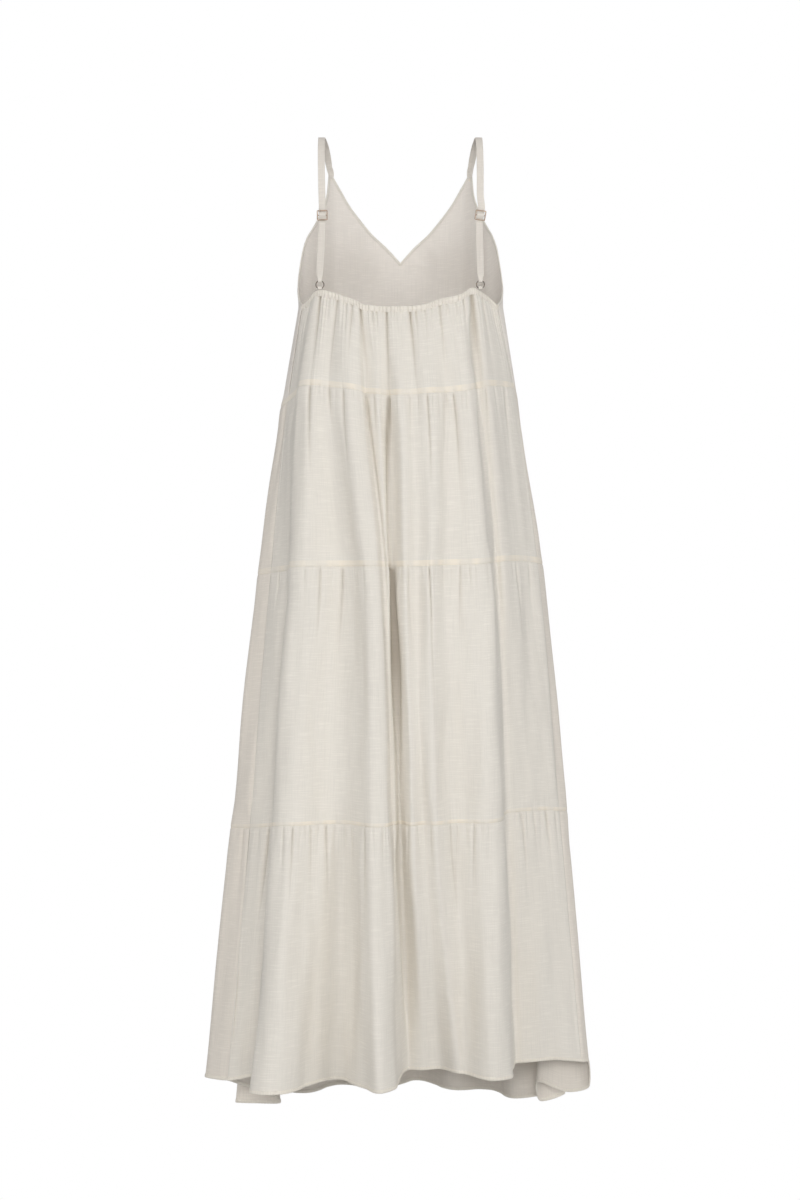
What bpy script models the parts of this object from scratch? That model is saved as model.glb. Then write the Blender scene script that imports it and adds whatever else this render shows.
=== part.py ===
# Tiered maxi dress in its worn, filled-out form. Metres, +Z up, +Y to the wearer's front.
# The origin is midway between the tops of the two shoulder straps.
#
# The cloth is one closed loop of fold lines that runs round the body. Each fold line has a place
# at five levels: the top of the back, the three tier seams and the hem. A panel is the stretch
# of that loop between its side seams, between two levels.

import math

import bmesh
import bpy
import numpy as np

MM = 0.001

# Cloth and trim sizes
WALL = 1.5 * MM
BAND_WALL = 2.8 * MM
STRAP_WALL = 1.2 * MM
GAP = 0.3 * MM
BAND_HEIGHT = 8.5 * MM
RUCHE_DEPTH = 0.7 * MM

# Distance of each level below the top of the back
LEVELS = (0.0, 0.127, 0.361, 0.705, 1.055)
TOP, SEAM_1, SEAM_2, SEAM_3, HEM = LEVELS

# Fold lines of the back from the left side seam to the right one, then those of the two sides,
# which the front shares. Columns: name, across (+X), away (+Y), each at the five levels, in mm.
FOLDS = (
    ("left_seam", (-137, -157, -181, -210, -240), (-30, -38, -42, -48, -58)),
    ("left_hollow", (-126, -143, -150, -166, -188), (-47, -72, -86, -92, -62)),
    ("left_lip", (-120, -139, -149, -170, -195), (-55, -92, -128, -160, -190)),
    ("left_crest", (-111, -123, -129, -144, -160), (-62, -112, -150, -184, -214)),
    ("hollow_a", (-90, -96, -70, -78, -84), (-72, -117, -143, -160, -135)),
    ("crest_b", (-69, -68, -46, -37, -29), (-80, -131, -168, -200, -216)),
    ("centre_lip", (-58, -53, -30, -17, -6), (-84, -129, -166, -194, -196)),
    ("hollow_b", (-53, -46, -23, -10, 0), (-85, -121, -152, -173, -140)),
    ("small_crest", (-38, -30, -16, -5, 5), (-88, -130, -152, -167, -122)),
    ("hollow_c", (-24, -16, -9, 0, 12), (-90, -123, -143, -158, -105)),
    ("crest_d", (-6, 0, 6, 16, 32), (-92, -136, -165, -184, -112)),
    ("hollow_e", (12, 16, 21, 32, 54), (-91, -130, -158, -172, -105)),
    ("crest_e", (33, 40, 42, 47, 76), (-89, -138, -166, -182, -118)),
    ("hollow_f", (51, 63, 63, 75, 92), (-86, -125, -150, -160, -118)),
    ("crest_g", (80, 89, 104, 114, 121), (-80, -128, -156, -172, -142)),
    ("right_lip", (92, 102, 121, 135, 149), (-75, -118, -146, -160, -128)),
    ("right_hollow", (98, 108, 131, 147, 161), (-70, -92, -98, -84, -40)),
    ("right_rise", (106, 119, 141, 158, 173), (-65, -92, -98, -78, -42)),
    ("right_side", (123, 143, 169, 196, 220), (-45, -60, -62, -52, -36)),
    ("right_seam", (137, 160, 193, 224, 256), (-30, -34, -36, -30, -20)),
    ("right_edge", (146, 165, 202, 237, 269), (0, -10, -12, -8, -2)),
    ("right_corner", (145, 165, 201, 236, 271), (11, 2, 0, 3, 12)),
    ("right_tuck", (143, 164, 199, 231, 240), (22, 14, 12, 16, 24)),
    ("right_pleat", (140, 160, 194, 218, 198), (33, 26, 25, 30, 35)),
    ("right_fold", (135, 155, 188, 212, 204), (45, 40, 42, 48, 58)),
    ("right_return", (129, 148, 180, 210, 238), (58, 54, 58, 66, 80)),
    ("left_return", (-128, -148, -178, -209, -238), (58, 52, 54, 58, 63)),
    ("left_pleat", (-137, -157, -188, -206, -172), (40, 32, 30, 34, 46)),
    ("left_tuck", (-143, -166, -196, -230, -236), (22, 12, 8, 6, 8)),
    ("left_edge", (-145, -169, -201, -239, -275), (0, -12, -18, -20, -20)),
)
SHARED = ("left_return", "left_pleat", "left_tuck", "left_edge")

# Depth of the front ahead of the outermost lines. Columns: distance below the top of the back,
# which is negative on the chest, and depth.
FRONT_DEPTH = (
    (-0.200, 0.100),
    (-0.140, 0.112),
    (-0.080, 0.120),
    (0.000, 0.124),
    (0.127, 0.138),
    (0.361, 0.150),
    (0.705, 0.160),
    (1.055, 0.166),
)

# Fold lines of the front. Columns: angle from straight ahead towards +X in degrees, and how far
# the line stands out of the plain curve at the five levels, in mm.
FRONT_FOLDS = (
    (54, (0, 2, 6, 10, 14)),
    (42, (0, -2, -9, -14, -22)),
    (30, (0, 2, 5, 9, 12)),
    (18, (0, -1, -5, -12, -15)),
    (6, (0, 2, 8, 14, 21)),
    (-6, (0, -2, -8, -15, -24)),
    (-18, (0, 2, 6, 10, 12)),
    (-30, (0, -2, -6, -10, -12)),
    (-42, (0, 2, 9, 15, 22)),
    (-54, (0, -1, -2, -3, -4)),
)

# Heights of the five levels round the loop, in mm. Columns: fold line, or angle on the front,
# and the height of the top of the back, the three seams and the hem there.
HANG = (
    ("left_seam", (-241, -380, -620, -976, -1325)),
    ("left_lip", (-228, -366, -614, -960, -1308)),
    ("left_crest", (-226, -365, -613, -958, -1306)),
    ("crest_b", (-240, -372, -613, -958, -1304)),
    ("crest_d", (-253, -380, -613, -958, -1298)),
    ("crest_e", (-250, -378, -612, -957, -1300)),
    ("crest_g", (-236, -374, -610, -956, -1305)),
    ("right_rise", (-225, -364, -605, -951, -1304)),
    ("right_side", (-232, -361, -604, -951, -1302)),
    ("right_seam", (-242, -361, -606, -954, -1308)),
    ("right_edge", (-242, -364, -608, -957, -1315)),
    ("right_corner", (-242, -366, -609, -960, -1350)),
    ("right_tuck", (-242, -368, -611, -963, -1361)),
    ("right_pleat", (-242, -371, -613, -966, -1350)),
    ("right_fold", (-242, -374, -615, -969, -1383)),
    ("right_return", (-242, -377, -617, -972, -1378)),
    (42, (-242, -381, -620, -978, -1390)),
    (6, (-242, -386, -623, -982, -1382)),
    (-42, (-242, -388, -624, -983, -1386)),
    ("left_return", (-242, -388, -624, -983, -1386)),
    ("left_pleat", (-242, -387, -624, -982, -1382)),
    ("left_tuck", (-242, -386, -623, -981, -1344)),
    ("left_edge", (-241, -386, -623, -979, -1329)),
)

# Upper edge of the front bodice: neckline, strap point and armhole. Columns: angle from straight
# ahead in degrees, height in mm. The right half; the left mirrors it.
STRAP_POINT = {"inner": 42.6, "outer": 45.9, "height": -40}
BODICE_EDGE = (
    (0.0, -158),
    (7.8, -137),
    (16.9, -117),
    (24.0, -98),
    (31.4, -77),
    (37.0, -58),
    (STRAP_POINT["inner"], STRAP_POINT["height"]),
    (STRAP_POINT["outer"], STRAP_POINT["height"]),
    (47.9, -71),
    (55.9, -105),
    (61.5, -120),
    (67.5, -133),
    (74.0, -153),
    (80.0, -177),
    (90.0, -213),
    (97.0, -233),
    (104.0, -242),
)
BUST = {"across": 0.075, "height": -0.205, "width": 0.042, "reach": 0.055, "proud": 0.014}

# Tucks that run down from each gathered seam of the back. Columns: level, across, depth, half
# width and length, in mm. The front mirrors those of its seams, and FRONT_SHIFT moves them.
TUCKS = (
    (TOP, (-96, 2.5, 7, 70), (-64, 2.2, 6, 90), (-30, 1.6, 6, 50), (24, 2.4, 7, 80),
     (81, 2.4, 6, 75), (112, 2.0, 6, 60)),
    (SEAM_1, (-110, 2.6, 6, 80), (-78, 2.4, 7, 110), (-38, 1.8, 6, 60), (34, 2.8, 7, 90),
     (66, 3.2, 8, 120), (100, 2.0, 6, 60), (146, 2.6, 6, 90)),
    (SEAM_2, (-170, 2.6, 6, 80), (-107, 3.0, 8, 120), (-77, 2.6, 7, 90), (12, 2.4, 6, 100),
     (39, 3.6, 8, 190), (80, 3.0, 7, 110), (161, 2.8, 7, 90)),
    (SEAM_3, (-168, 3.4, 8, 110), (-142, 2.8, 7, 90), (-118, 2.6, 7, 80), (-99, 3.0, 7, 110),
     (-48, 2.8, 7, 90), (10, 3.0, 8, 100), (72, 3.6, 8, 120), (98, 2.8, 7, 90),
     (168, 2.8, 7, 100), (205, 2.4, 7, 80)),
)
TUCK_START = 10 * MM
FRONT_SHIFT = 14

# Shoulder strap, from just above the strap point over the shoulder to the slider. Columns:
# across on the left, across on the right, away, height and width, in mm.
STRAP_ROUTE = (
    (-102.6, 102.8, 66.5, -29.0, 8.8),
    (-104.2, 104.6, 60.0, -20.0, 9.6),
    (-106.8, 107.4, 42.0, -6.5, 9.6),
    (-109.4, 109.8, 20.0, -0.9, 9.6),
    (-110.8, 111.0, -2.0, -1.4, 9.6),
    (-110.4, 111.2, -24.0, -8.0, 9.6),
    (-110.0, 111.2, -44.0, -22.0, 9.6),
    (-109.4, 111.2, -60.0, -43.0, 9.6),
    (-108.6, 111.0, -71.5, -70.0, 9.6),
    (-107.8, 110.9, -77.0, -98.0, 9.6),
)
# The strap's first two points above the strap point. Columns: height above it, width
FOOT = ((0.5, 6.8), (4.5, 7.6))
# Places of the slider and the ring: across on the left, on the right, away, height
SLIDER_AT = (-107.3, 111.0, -78.5, -126.0)
RING_ACROSS = (-112.3, 112.7)
SLIDER_TILT = (0.0, 9.0)
# The strip tilts with the slider near it: fully out to 0.8 of this distance, not at all past 1.8
TILT_REACH = 12.0
TILT_END = 1.8
# At the strap point the strip is turned by this angle, and it is straight this much higher up
STRAP_TURN = 44.0
TURN_HEIGHT = 30 * MM
STRAP_STEP = 9.0

# The strap's way round the slider's bars and through the ring, in mm from the middle of each.
# Columns: away, up, width.
WEAVE = (
    (0.9, 10.0, 9.6),
    (1.9, 6.3, 9.6),
    (0.0, 3.15, 9.6),
    (-1.9, 0.0, 9.6),
    (0.0, -3.15, 9.6),
    (1.9, -6.3, 9.6),
    (1.0, -10.0, 9.6),
)
RING_TURN = (
    (-1.8, 13.0, 9.0),
    (-1.7, 8.5, 6.6),
    (-1.65, 5.0, 5.6),
    (-1.15, 3.4, 5.6),
    (0.0, 2.85, 5.6),
    (1.15, 3.4, 5.6),
    (1.65, 5.0, 5.6),
    (1.7, 8.5, 6.6),
    (1.8, 13.0, 9.0),
)
STRAP_RETURN = (
    (2.9, -10.0, 9.6),
    (3.6, -6.3, 9.6),
    (2.8, -2.6, 9.6),
    (2.0, 0.6, 9.6),
)
TAB_TURN = (
    (-1.65, -6.7, 5.6),
    (-1.65, -4.8, 5.6),
    (-1.15, -3.4, 5.6),
    (0.0, -2.85, 5.6),
    (1.15, -3.4, 5.6),
    (1.65, -4.8, 5.6),
    (1.65, -6.7, 5.6),
)

SLIDER = {"width": 15.0, "height": 14.4, "bar": 1.9, "depth": 1.4, "bevel": 0.35}
RING = {"outer": 12.5, "wire": 1.5, "turns": 22, "sides": 7, "above_band": 0.8}

# Columns between two fold lines, and the angle past which an edge is shaded sharp
BACK_STEPS = 4
FRONT_STEPS = 3
SHARP = math.radians(50)

CLOTH = {"name": "cream_linen", "colour": (0.86, 0.83, 0.77, 1.0), "roughness": 0.85, "metallic": 0.0}
BRASS = {"name": "light_gold", "colour": (0.86, 0.66, 0.47, 1.0), "roughness": 0.22, "metallic": 1.0}

# Order of the lines round the loop, counter-clockwise seen from above: the back, the right
# side, the front from right to left, and the left side
BEFORE_FRONT = [name for name, _, _ in FOLDS if name not in SHARED]
FRONT_ANGLES = [angle for angle, _ in FRONT_FOLDS]
LINES = BEFORE_FRONT + FRONT_ANGLES + list(SHARED)
COUNT = len(LINES)
RIGHT_SEAM = LINES.index("right_seam")
RIGHT_EDGE = LINES.index("right_edge")
LEFT_EDGE = LINES.index("left_edge")
FIRST_SIDE, LAST_SIDE = RIGHT_EDGE + 1, len(FOLDS) - 1
# Angle from straight ahead of the side lines
SIDE_ANGLES = {
    "right_seam": 104.0,
    "right_edge": 90.0,
    "right_corner": 85.0,
    "right_tuck": 80.0,
    "right_pleat": 74.5,
    "right_fold": 68.5,
    "right_return": 62.0,
    "left_return": -62.0,
    "left_pleat": -71.0,
    "left_tuck": -80.0,
    "left_edge": -90.0,
}


def smooth(at, knots, values):
    # Value on the smooth line through the values at the knots; flat beyond the ends
    knots = np.asarray(knots, float)
    values = np.asarray(values, float)
    at = np.clip(np.asarray(at, float), knots[0], knots[-1])
    slope = np.gradient(values, knots, axis=0)
    i = np.clip(np.searchsorted(knots, at, side="right") - 1, 0, len(knots) - 2)
    step = knots[i + 1] - knots[i]
    t = (at - knots[i]) / step
    extra = values.ndim - 1
    step = np.reshape(step, np.shape(step) + (1,) * extra)
    t = np.reshape(t, np.shape(t) + (1,) * extra)
    return (
        (2 * t**3 - 3 * t**2 + 1) * values[i]
        + (t**3 - 2 * t**2 + t) * step * slope[i]
        + (3 * t**2 - 2 * t**3) * values[i + 1]
        + (t**3 - t**2) * step * slope[i + 1]
    )


def line_places(level):
    # Plan of every fold line at one level: the table's lines, and the front's on its curve
    table = np.array([np.stack(row[1:], axis=1) for row in FOLDS]) * MM
    places = smooth(level, LEVELS, np.swapaxes(table, 0, 1))
    right, left = places[RIGHT_EDGE], places[LAST_SIDE]
    depth = smooth(level, *zip(*FRONT_DEPTH))
    if level < TOP:
        # The sides narrow with the chest
        places[FIRST_SIDE:LAST_SIDE, 1] *= depth / smooth(TOP, *zip(*FRONT_DEPTH))
    middle = (right + left) / 2
    half = (right - left) / 2
    front = []
    for angle, proud in FRONT_FOLDS:
        turn = math.radians(angle)
        out = smooth(level, LEVELS, proud) * MM
        away = middle[1] + half[1] * math.sin(turn) + (depth + out) * math.cos(turn)
        front.append((middle[0] + (half[0] + out) * math.sin(turn), away))
    split = len(BEFORE_FRONT)
    return np.vstack([places[:split], front, places[split:]])


def plan(level, along):
    # Points of the closed loop at one level; a whole number along is a fold line
    lines = line_places(level)
    after = np.roll(lines, -1, 0) - lines
    before = np.roll(after, 1, 0)
    step = np.linalg.norm(after, axis=1, keepdims=True) ** 0.5
    last = np.roll(step, 1, 0)
    slope = after / step + before / last - (after + before) / (step + last)
    start = np.floor(along).astype(int)
    t = (along - start)[:, None]
    i = start % COUNT
    j = (i + 1) % COUNT
    return (
        (2 * t**3 - 3 * t**2 + 1) * lines[i]
        + (t**3 - 2 * t**2 + t) * step[i] * slope[i]
        + (3 * t**2 - 2 * t**3) * lines[j]
        + (t**3 - t**2) * step[i] * slope[j]
    )


def height(level, along):
    # Height round the loop at one level; the levels dip and rise with the table of heights
    places = [LINES.index(row[0]) for row in HANG]
    heights = np.array([row[1] for row in HANG]) * MM
    places = np.array([places[-1] - COUNT] + places + [COUNT, COUNT + places[1]])
    heights = np.vstack([heights[-1:], heights, heights[:2]])
    rows = smooth(np.mod(along, COUNT), places, heights)
    found = np.array([np.interp(level, LEVELS, row) for row in rows])
    return found - min(level, 0.0)


def tuck_depth(level, across, front):
    # Depth of the tucks under the seam above this level
    depth = np.zeros_like(across)
    for start, *tucks in TUCKS:
        below = level - start
        if below <= 0 or (start == TOP and front):
            continue
        for place, deep, half_width, length in tucks:
            place = -(place + FRONT_SHIFT) if front else place
            fade = min(below / TUCK_START, 1.0) * math.exp(-((below / (length * MM)) ** 2))
            across_fade = np.exp(-(((across - place * MM) / (half_width * MM)) ** 2))
            depth += deep * MM * fade * across_fade
    return depth


def face(level, along):
    # The cloth's outer face: the loop with its tucks and, in front, the two bust rounds
    points = plan(level, along)
    up = height(level, along)
    turn = np.mod(along, COUNT)
    in_front = (turn > RIGHT_EDGE) & (turn < LEFT_EDGE)
    back = tuck_depth(level, points[:, 0], False) * ~in_front
    ahead = tuck_depth(level, points[:, 0], True) * in_front
    side = (np.abs(points[:, 0]) - BUST["across"]) / BUST["width"]
    rise = (up - BUST["height"]) / BUST["reach"]
    bust = BUST["proud"] * np.exp(-(side**2) - rise**2) * in_front
    points[:, 1] += back - ahead + bust
    return np.column_stack([points, up])


def directions(level, along):
    # Direction along the loop and outwards, in plan
    nudge = 0.02
    tangent = (face(level, along + nudge) - face(level, along - nudge))[:, :2]
    tangent /= np.linalg.norm(tangent, axis=1, keepdims=True)
    outward = np.column_stack([tangent[:, 1], -tangent[:, 0]])
    flat = np.zeros((len(along), 1))
    return np.hstack([tangent, flat]), np.hstack([outward, flat])


def wall_rows(level, along, thickness, proud=0.0):
    # Outer and inner points of one row of a panel, with half a seam's gap left at both ends
    tangent, outward = directions(level, along)
    outer = face(level, along) + outward * np.reshape(proud, (-1, 1))
    outer[0] += tangent[0] * GAP / 2
    outer[-1] -= tangent[-1] * GAP / 2
    return outer, outer - outward * thickness


def make_material(look):
    made = bpy.data.materials.get(look["name"])
    if made is None:
        made = bpy.data.materials.new(look["name"])
        made.use_nodes = True
        shader = made.node_tree.nodes["Principled BSDF"]
        shader.inputs["Base Color"].default_value = look["colour"]
        shader.inputs["Roughness"].default_value = look["roughness"]
        shader.inputs["Metallic"].default_value = look["metallic"]
        made.diffuse_color = look["colour"]
    return made


def add_object(name, mesh, look):
    made = bpy.data.objects.new(name, mesh)
    mesh.materials.append(make_material(look))
    bpy.context.collection.objects.link(made)
    return made


def add_wall(name, outer, inner, look=CLOTH):
    # A closed wall from two grids of points whose rows run from top to bottom
    rows, columns = outer.shape[:2]
    inside = rows * columns
    faces = []

    def at(row, column, shift=0):
        return shift + row * columns + column

    for row in range(rows - 1):
        for column in range(columns - 1):
            square = [(row, column), (row + 1, column), (row + 1, column + 1), (row, column + 1)]
            faces.append([at(*corner) for corner in square])
            faces.append([at(*corner, inside) for corner in reversed(square)])
    for column in range(columns - 1):
        for row, ends in ((0, (column, column + 1)), (rows - 1, (column + 1, column))):
            near, far = ends
            faces.append([at(row, near), at(row, far), at(row, far, inside), at(row, near, inside)])
    for row in range(rows - 1):
        for column, ends in ((0, (row + 1, row)), (columns - 1, (row, row + 1))):
            near, far = ends
            faces.append(
                [at(near, column), at(far, column), at(far, column, inside), at(near, column, inside)]
            )
    mesh = bpy.data.meshes.new(name)
    points = np.vstack([outer.reshape(-1, 3), inner.reshape(-1, 3)])
    mesh.from_pydata(points.tolist(), [], faces)
    mesh.shade_smooth()
    mesh.set_sharp_from_angle(angle=SHARP)
    return add_object(name, mesh, look)


def panel(name, along, levels, thickness=WALL):
    pairs = [wall_rows(level, along, thickness) for level in levels]
    outer = np.array([pair[0] for pair in pairs])
    inner = np.array([pair[1] for pair in pairs])
    outer[0, :, 2] -= GAP / 2
    inner[0, :, 2] -= GAP / 2
    if levels[-1] < HEM:
        outer[-1, :, 2] += GAP / 2
        inner[-1, :, 2] += GAP / 2
    add_wall(name, outer, inner)


def tier_levels(top, bottom, fractions):
    tucked = top + TUCK_START
    return [top, tucked] + [tucked + (bottom - tucked) * part for part in fractions]


def make_tiers(back, front):
    bounds = (SEAM_1, SEAM_2, SEAM_3, HEM)
    for number, (top, bottom) in enumerate(zip(bounds, bounds[1:]), start=2):
        panel(f"tier{number}_back", back, tier_levels(top, bottom, (0.2, 0.55, 1.0)))
        panel(f"tier{number}_front", front, tier_levels(top, bottom, (0.2, 0.55, 1.0)))


def make_back_bodice(back):
    start = TOP + BAND_HEIGHT
    panel("back_bodice", back, tier_levels(start, SEAM_1, (0.35, 1.0)))


def make_band(back):
    # The elastic casing: every second column stands out as a ruche
    pieces = []
    ruche = np.where(np.arange(len(back)) % 2, RUCHE_DEPTH, 0.0)
    for level, lift in ((TOP, 0.0), (TOP + BAND_HEIGHT, GAP / 2)):
        outer, inner = wall_rows(level, back, BAND_WALL, ruche)
        outer[:, 2] += lift
        inner[:, 2] += lift
        pieces.append((outer, inner))
    add_wall("back_band", np.array([p[0] for p in pieces]), np.array([p[1] for p in pieces]))


def along_of_angle(angle):
    # Place on the loop of an angle from straight ahead
    sides_and_front = range(RIGHT_SEAM, COUNT)
    known = [(SIDE_ANGLES.get(LINES[place], LINES[place]), place) for place in sides_and_front]
    known.append((-SIDE_ANGLES["right_seam"], COUNT))
    known.reverse()
    return np.interp(angle, *zip(*known))


def make_front_bodice():
    # Columns run from the cut upper edge straight down to the first seam
    half = [(angle, z * MM) for angle, z in BODICE_EDGE]
    edge = half[:0:-1] + [(-angle, z) for angle, z in half]
    along = along_of_angle([angle for angle, _ in edge])
    parts = (0.0, 0.12, 0.26, 0.42, 0.6, 0.8, 1.0)
    seam = height(SEAM_1, along)
    outer = np.zeros((len(parts), len(edge), 3))
    inner = np.zeros_like(outer)
    for column, (_, top) in enumerate(edge):
        heights_here = [height(level, along[column : column + 1])[0] for level in (TOP, SEAM_1)]
        for row, part in enumerate(parts):
            z = top + (seam[column] - top) * part
            share = (heights_here[0] - z) / (heights_here[0] - heights_here[1])
            level = share * SEAM_1 if share > 0 else heights_here[0] - z
            tangent, outward = directions(level, along[column : column + 1])
            point = face(level, along[column : column + 1])[0]
            if column == 0:
                point = point + tangent[0] * GAP / 2
            if column == len(edge) - 1:
                point = point - tangent[0] * GAP / 2
            outer[row, column] = point
            inner[row, column] = point - outward[0] * WALL
    outer[-1, :, 2] += GAP / 2
    inner[-1, :, 2] += GAP / 2
    add_wall("front_bodice", outer, inner)


def ribbon(name, points, widths, across, thickness):
    # A flat strip: its centre line, its width at each point and the direction of its width
    points = np.asarray(points)
    tangent = np.gradient(points, axis=0)
    tangent /= np.linalg.norm(tangent, axis=1, keepdims=True)
    across = across - tangent * np.sum(across * tangent, axis=1, keepdims=True)
    across /= np.linalg.norm(across, axis=1, keepdims=True)
    out = np.cross(tangent, across)
    side = across * np.reshape(widths, (-1, 1)) / 2
    depth = out * thickness / 2
    signs = ((-1, -1), (1, -1), (1, 1), (-1, 1))
    corners = np.stack([points + side * across + depth * away for across, away in signs], axis=1)
    count = len(points)
    faces = [[0, 1, 2, 3], [4 * count - 1, 4 * count - 2, 4 * count - 3, 4 * count - 4]]
    for ring in range(count - 1):
        for corner in range(4):
            after = (corner + 1) % 4
            low, high = 4 * ring, 4 * ring + 4
            faces.append([low + corner, high + corner, high + after, low + after])
    mesh = bpy.data.meshes.new(name)
    mesh.from_pydata(corners.reshape(-1, 3).tolist(), [], faces)
    form = bmesh.new()
    form.from_mesh(mesh)
    bmesh.ops.recalc_face_normals(form, faces=form.faces)
    form.to_mesh(mesh)
    form.free()
    mesh.shade_smooth()
    mesh.set_sharp_from_angle(angle=SHARP)
    return add_object(name, mesh, CLOTH)


def resample(rows, spacing):
    # A smooth line through the rows, with points about one spacing apart along it
    rows = np.asarray(rows, float)
    run = np.concatenate([[0], np.cumsum(np.linalg.norm(np.diff(rows[:, :3], axis=0), axis=1) ** 0.5)])
    found = []
    for start in range(len(rows) - 1):
        length = np.linalg.norm(rows[start + 1, :3] - rows[start, :3])
        steps = max(1, round(length / spacing))
        found += [run[start] + (run[start + 1] - run[start]) * k / steps for k in range(steps)]
    return smooth(np.array(found + [run[-1]]), run, rows)


def strap_foot(side):
    # Where the strap starts: in the middle of the bodice's wall, just above the strap point
    angle = (STRAP_POINT["inner"] + STRAP_POINT["outer"]) / 2
    along = along_of_angle(np.array([angle]) * (-1, 1)[side])
    level = height(TOP, along)[0] - STRAP_POINT["height"] * MM
    _, outward = directions(level, along)
    middle = (face(level, along)[0] - outward[0] * WALL / 2) / MM
    return [(middle[0], middle[1], STRAP_POINT["height"] + lift, width) for lift, width in FOOT]


def make_strap(side, label, ring_at):
    slider_at = np.array([SLIDER_AT[side], SLIDER_AT[2], SLIDER_AT[3]])
    ring = np.array(ring_at) / MM
    rows = strap_foot(side) + [(row[side], row[2], row[3], row[4]) for row in STRAP_ROUTE]
    tilt = math.radians(SLIDER_TILT[side])
    turns = ((WEAVE, slider_at, tilt), (RING_TURN, ring, 0), (STRAP_RETURN, slider_at, tilt))
    for table, centre, lean in turns:
        for away, up, width in table:
            place = centre + np.array([up * math.sin(lean), away, up * math.cos(lean)])
            rows.append((*place, width))
    line = resample(rows, STRAP_STEP)
    points = line[:, :3] * MM
    # At the strap point the strip lies in the bodice's wall; over the shoulder it faces straight
    turn = math.radians(STRAP_TURN) * (-1, 1)[side]
    start = np.array([math.cos(turn), -math.sin(turn), 0.0])
    share = np.clip((points[:, 2] - points[0, 2]) / TURN_HEIGHT, 0, 1)
    share[np.argmax(points[:, 2]) :] = 1.0
    across = start + (np.array([1.0, 0, 0]) - start) * share[:, None]
    # Near the slider the strip tilts with it
    near = np.clip(TILT_END - np.abs(points[:, 2] / MM - slider_at[2]) / TILT_REACH, 0, 1)
    across[:, 2] -= math.tan(tilt) * near
    ribbon(f"strap_{label}", points, line[:, 3] * MM, across, STRAP_WALL)


def make_tab(label, ring_at):
    ring = np.array(ring_at)
    points = [ring + np.array([0, away, up]) * MM for away, up, _ in TAB_TURN]
    widths = [width * MM for _, _, width in TAB_TURN]
    across = np.tile([1.0, 0, 0], (len(points), 1))
    ribbon(f"ring_tab_{label}", points, widths, across, STRAP_WALL)


def make_slider(side, label):
    # A plate with two windows, which leave a top, a centre and a bottom bar
    half_width, half_height = SLIDER["width"] / 2, SLIDER["height"] / 2
    bar = SLIDER["bar"]
    columns = (-half_width, -half_width + bar, half_width - bar, half_width)
    rows = (-half_height, -half_height + bar, -bar / 2, bar / 2, half_height - bar, half_height)
    windows = ((1, 1), (1, 3))
    form = bmesh.new()
    grid = [[form.verts.new((x * MM, 0, z * MM)) for z in rows] for x in columns]
    for i in range(len(columns) - 1):
        for j in range(len(rows) - 1):
            if (i, j) not in windows:
                form.faces.new((grid[i][j], grid[i + 1][j], grid[i + 1][j + 1], grid[i][j + 1]))
    pulled = bmesh.ops.extrude_face_region(form, geom=list(form.faces))
    moved = [item for item in pulled["geom"] if isinstance(item, bmesh.types.BMVert)]
    bmesh.ops.translate(form, verts=moved, vec=(0, SLIDER["depth"] * MM, 0))
    bmesh.ops.translate(form, verts=form.verts, vec=(0, -SLIDER["depth"] * MM / 2, 0))
    bmesh.ops.recalc_face_normals(form, faces=form.faces)
    rims = [edge for edge in form.edges if edge.calc_face_angle(0) > math.radians(60)]
    bmesh.ops.bevel(form, geom=rims, offset=SLIDER["bevel"] * MM, segments=1, affect="EDGES")
    bmesh.ops.recalc_face_normals(form, faces=form.faces)
    mesh = bpy.data.meshes.new(f"slider_{label}")
    form.to_mesh(mesh)
    form.free()
    made = add_object(f"slider_{label}", mesh, BRASS)
    made.location = (SLIDER_AT[side] * MM, SLIDER_AT[2] * MM, SLIDER_AT[3] * MM)
    made.rotation_euler = (0, math.radians(SLIDER_TILT[side]), 0)


def make_ring(label, ring_at):
    wire = RING["wire"] * MM / 2
    bpy.ops.mesh.primitive_torus_add(
        major_radius=RING["outer"] * MM / 2 - wire,
        minor_radius=wire,
        major_segments=RING["turns"],
        minor_segments=RING["sides"],
        location=ring_at,
        rotation=(math.radians(90), 0, 0),
    )
    made = bpy.context.object
    made.name = f"ring_{label}"
    made.data.shade_smooth()
    made.data.materials.append(make_material(BRASS))


def ring_place(side):
    # The ring stands just above the casing's edge, in the middle of its thickness
    back = np.linspace(0, RIGHT_SEAM, 400)
    edge = face(TOP, back)
    nearest = np.argmin(np.abs(edge[:, 0] - RING_ACROSS[side] * MM))
    _, outward = directions(TOP, back[nearest : nearest + 1])
    middle = edge[nearest] - outward[0] * BAND_WALL / 2
    under_tab = np.abs(edge[:, 0] - middle[0]) < RING["outer"] * MM / 2
    highest = edge[under_tab, 2].max()
    return (middle[0], middle[1], highest + (RING["outer"] / 2 + RING["above_band"]) * MM)


def main():
    for old in list(bpy.data.objects):
        bpy.data.objects.remove(old)
    back = np.arange(0, RIGHT_SEAM * BACK_STEPS + 1) / BACK_STEPS
    front = np.arange(RIGHT_SEAM * FRONT_STEPS, COUNT * FRONT_STEPS + 1) / FRONT_STEPS
    make_tiers(back, front)
    make_back_bodice(back)
    make_band(back)
    make_front_bodice()
    for side, label in enumerate(("left", "right")):
        ring_at = ring_place(side)
        make_strap(side, label, ring_at)
        make_slider(side, label)
        make_ring(label, ring_at)
        make_tab(label, ring_at)


main()
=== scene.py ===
import math

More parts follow.
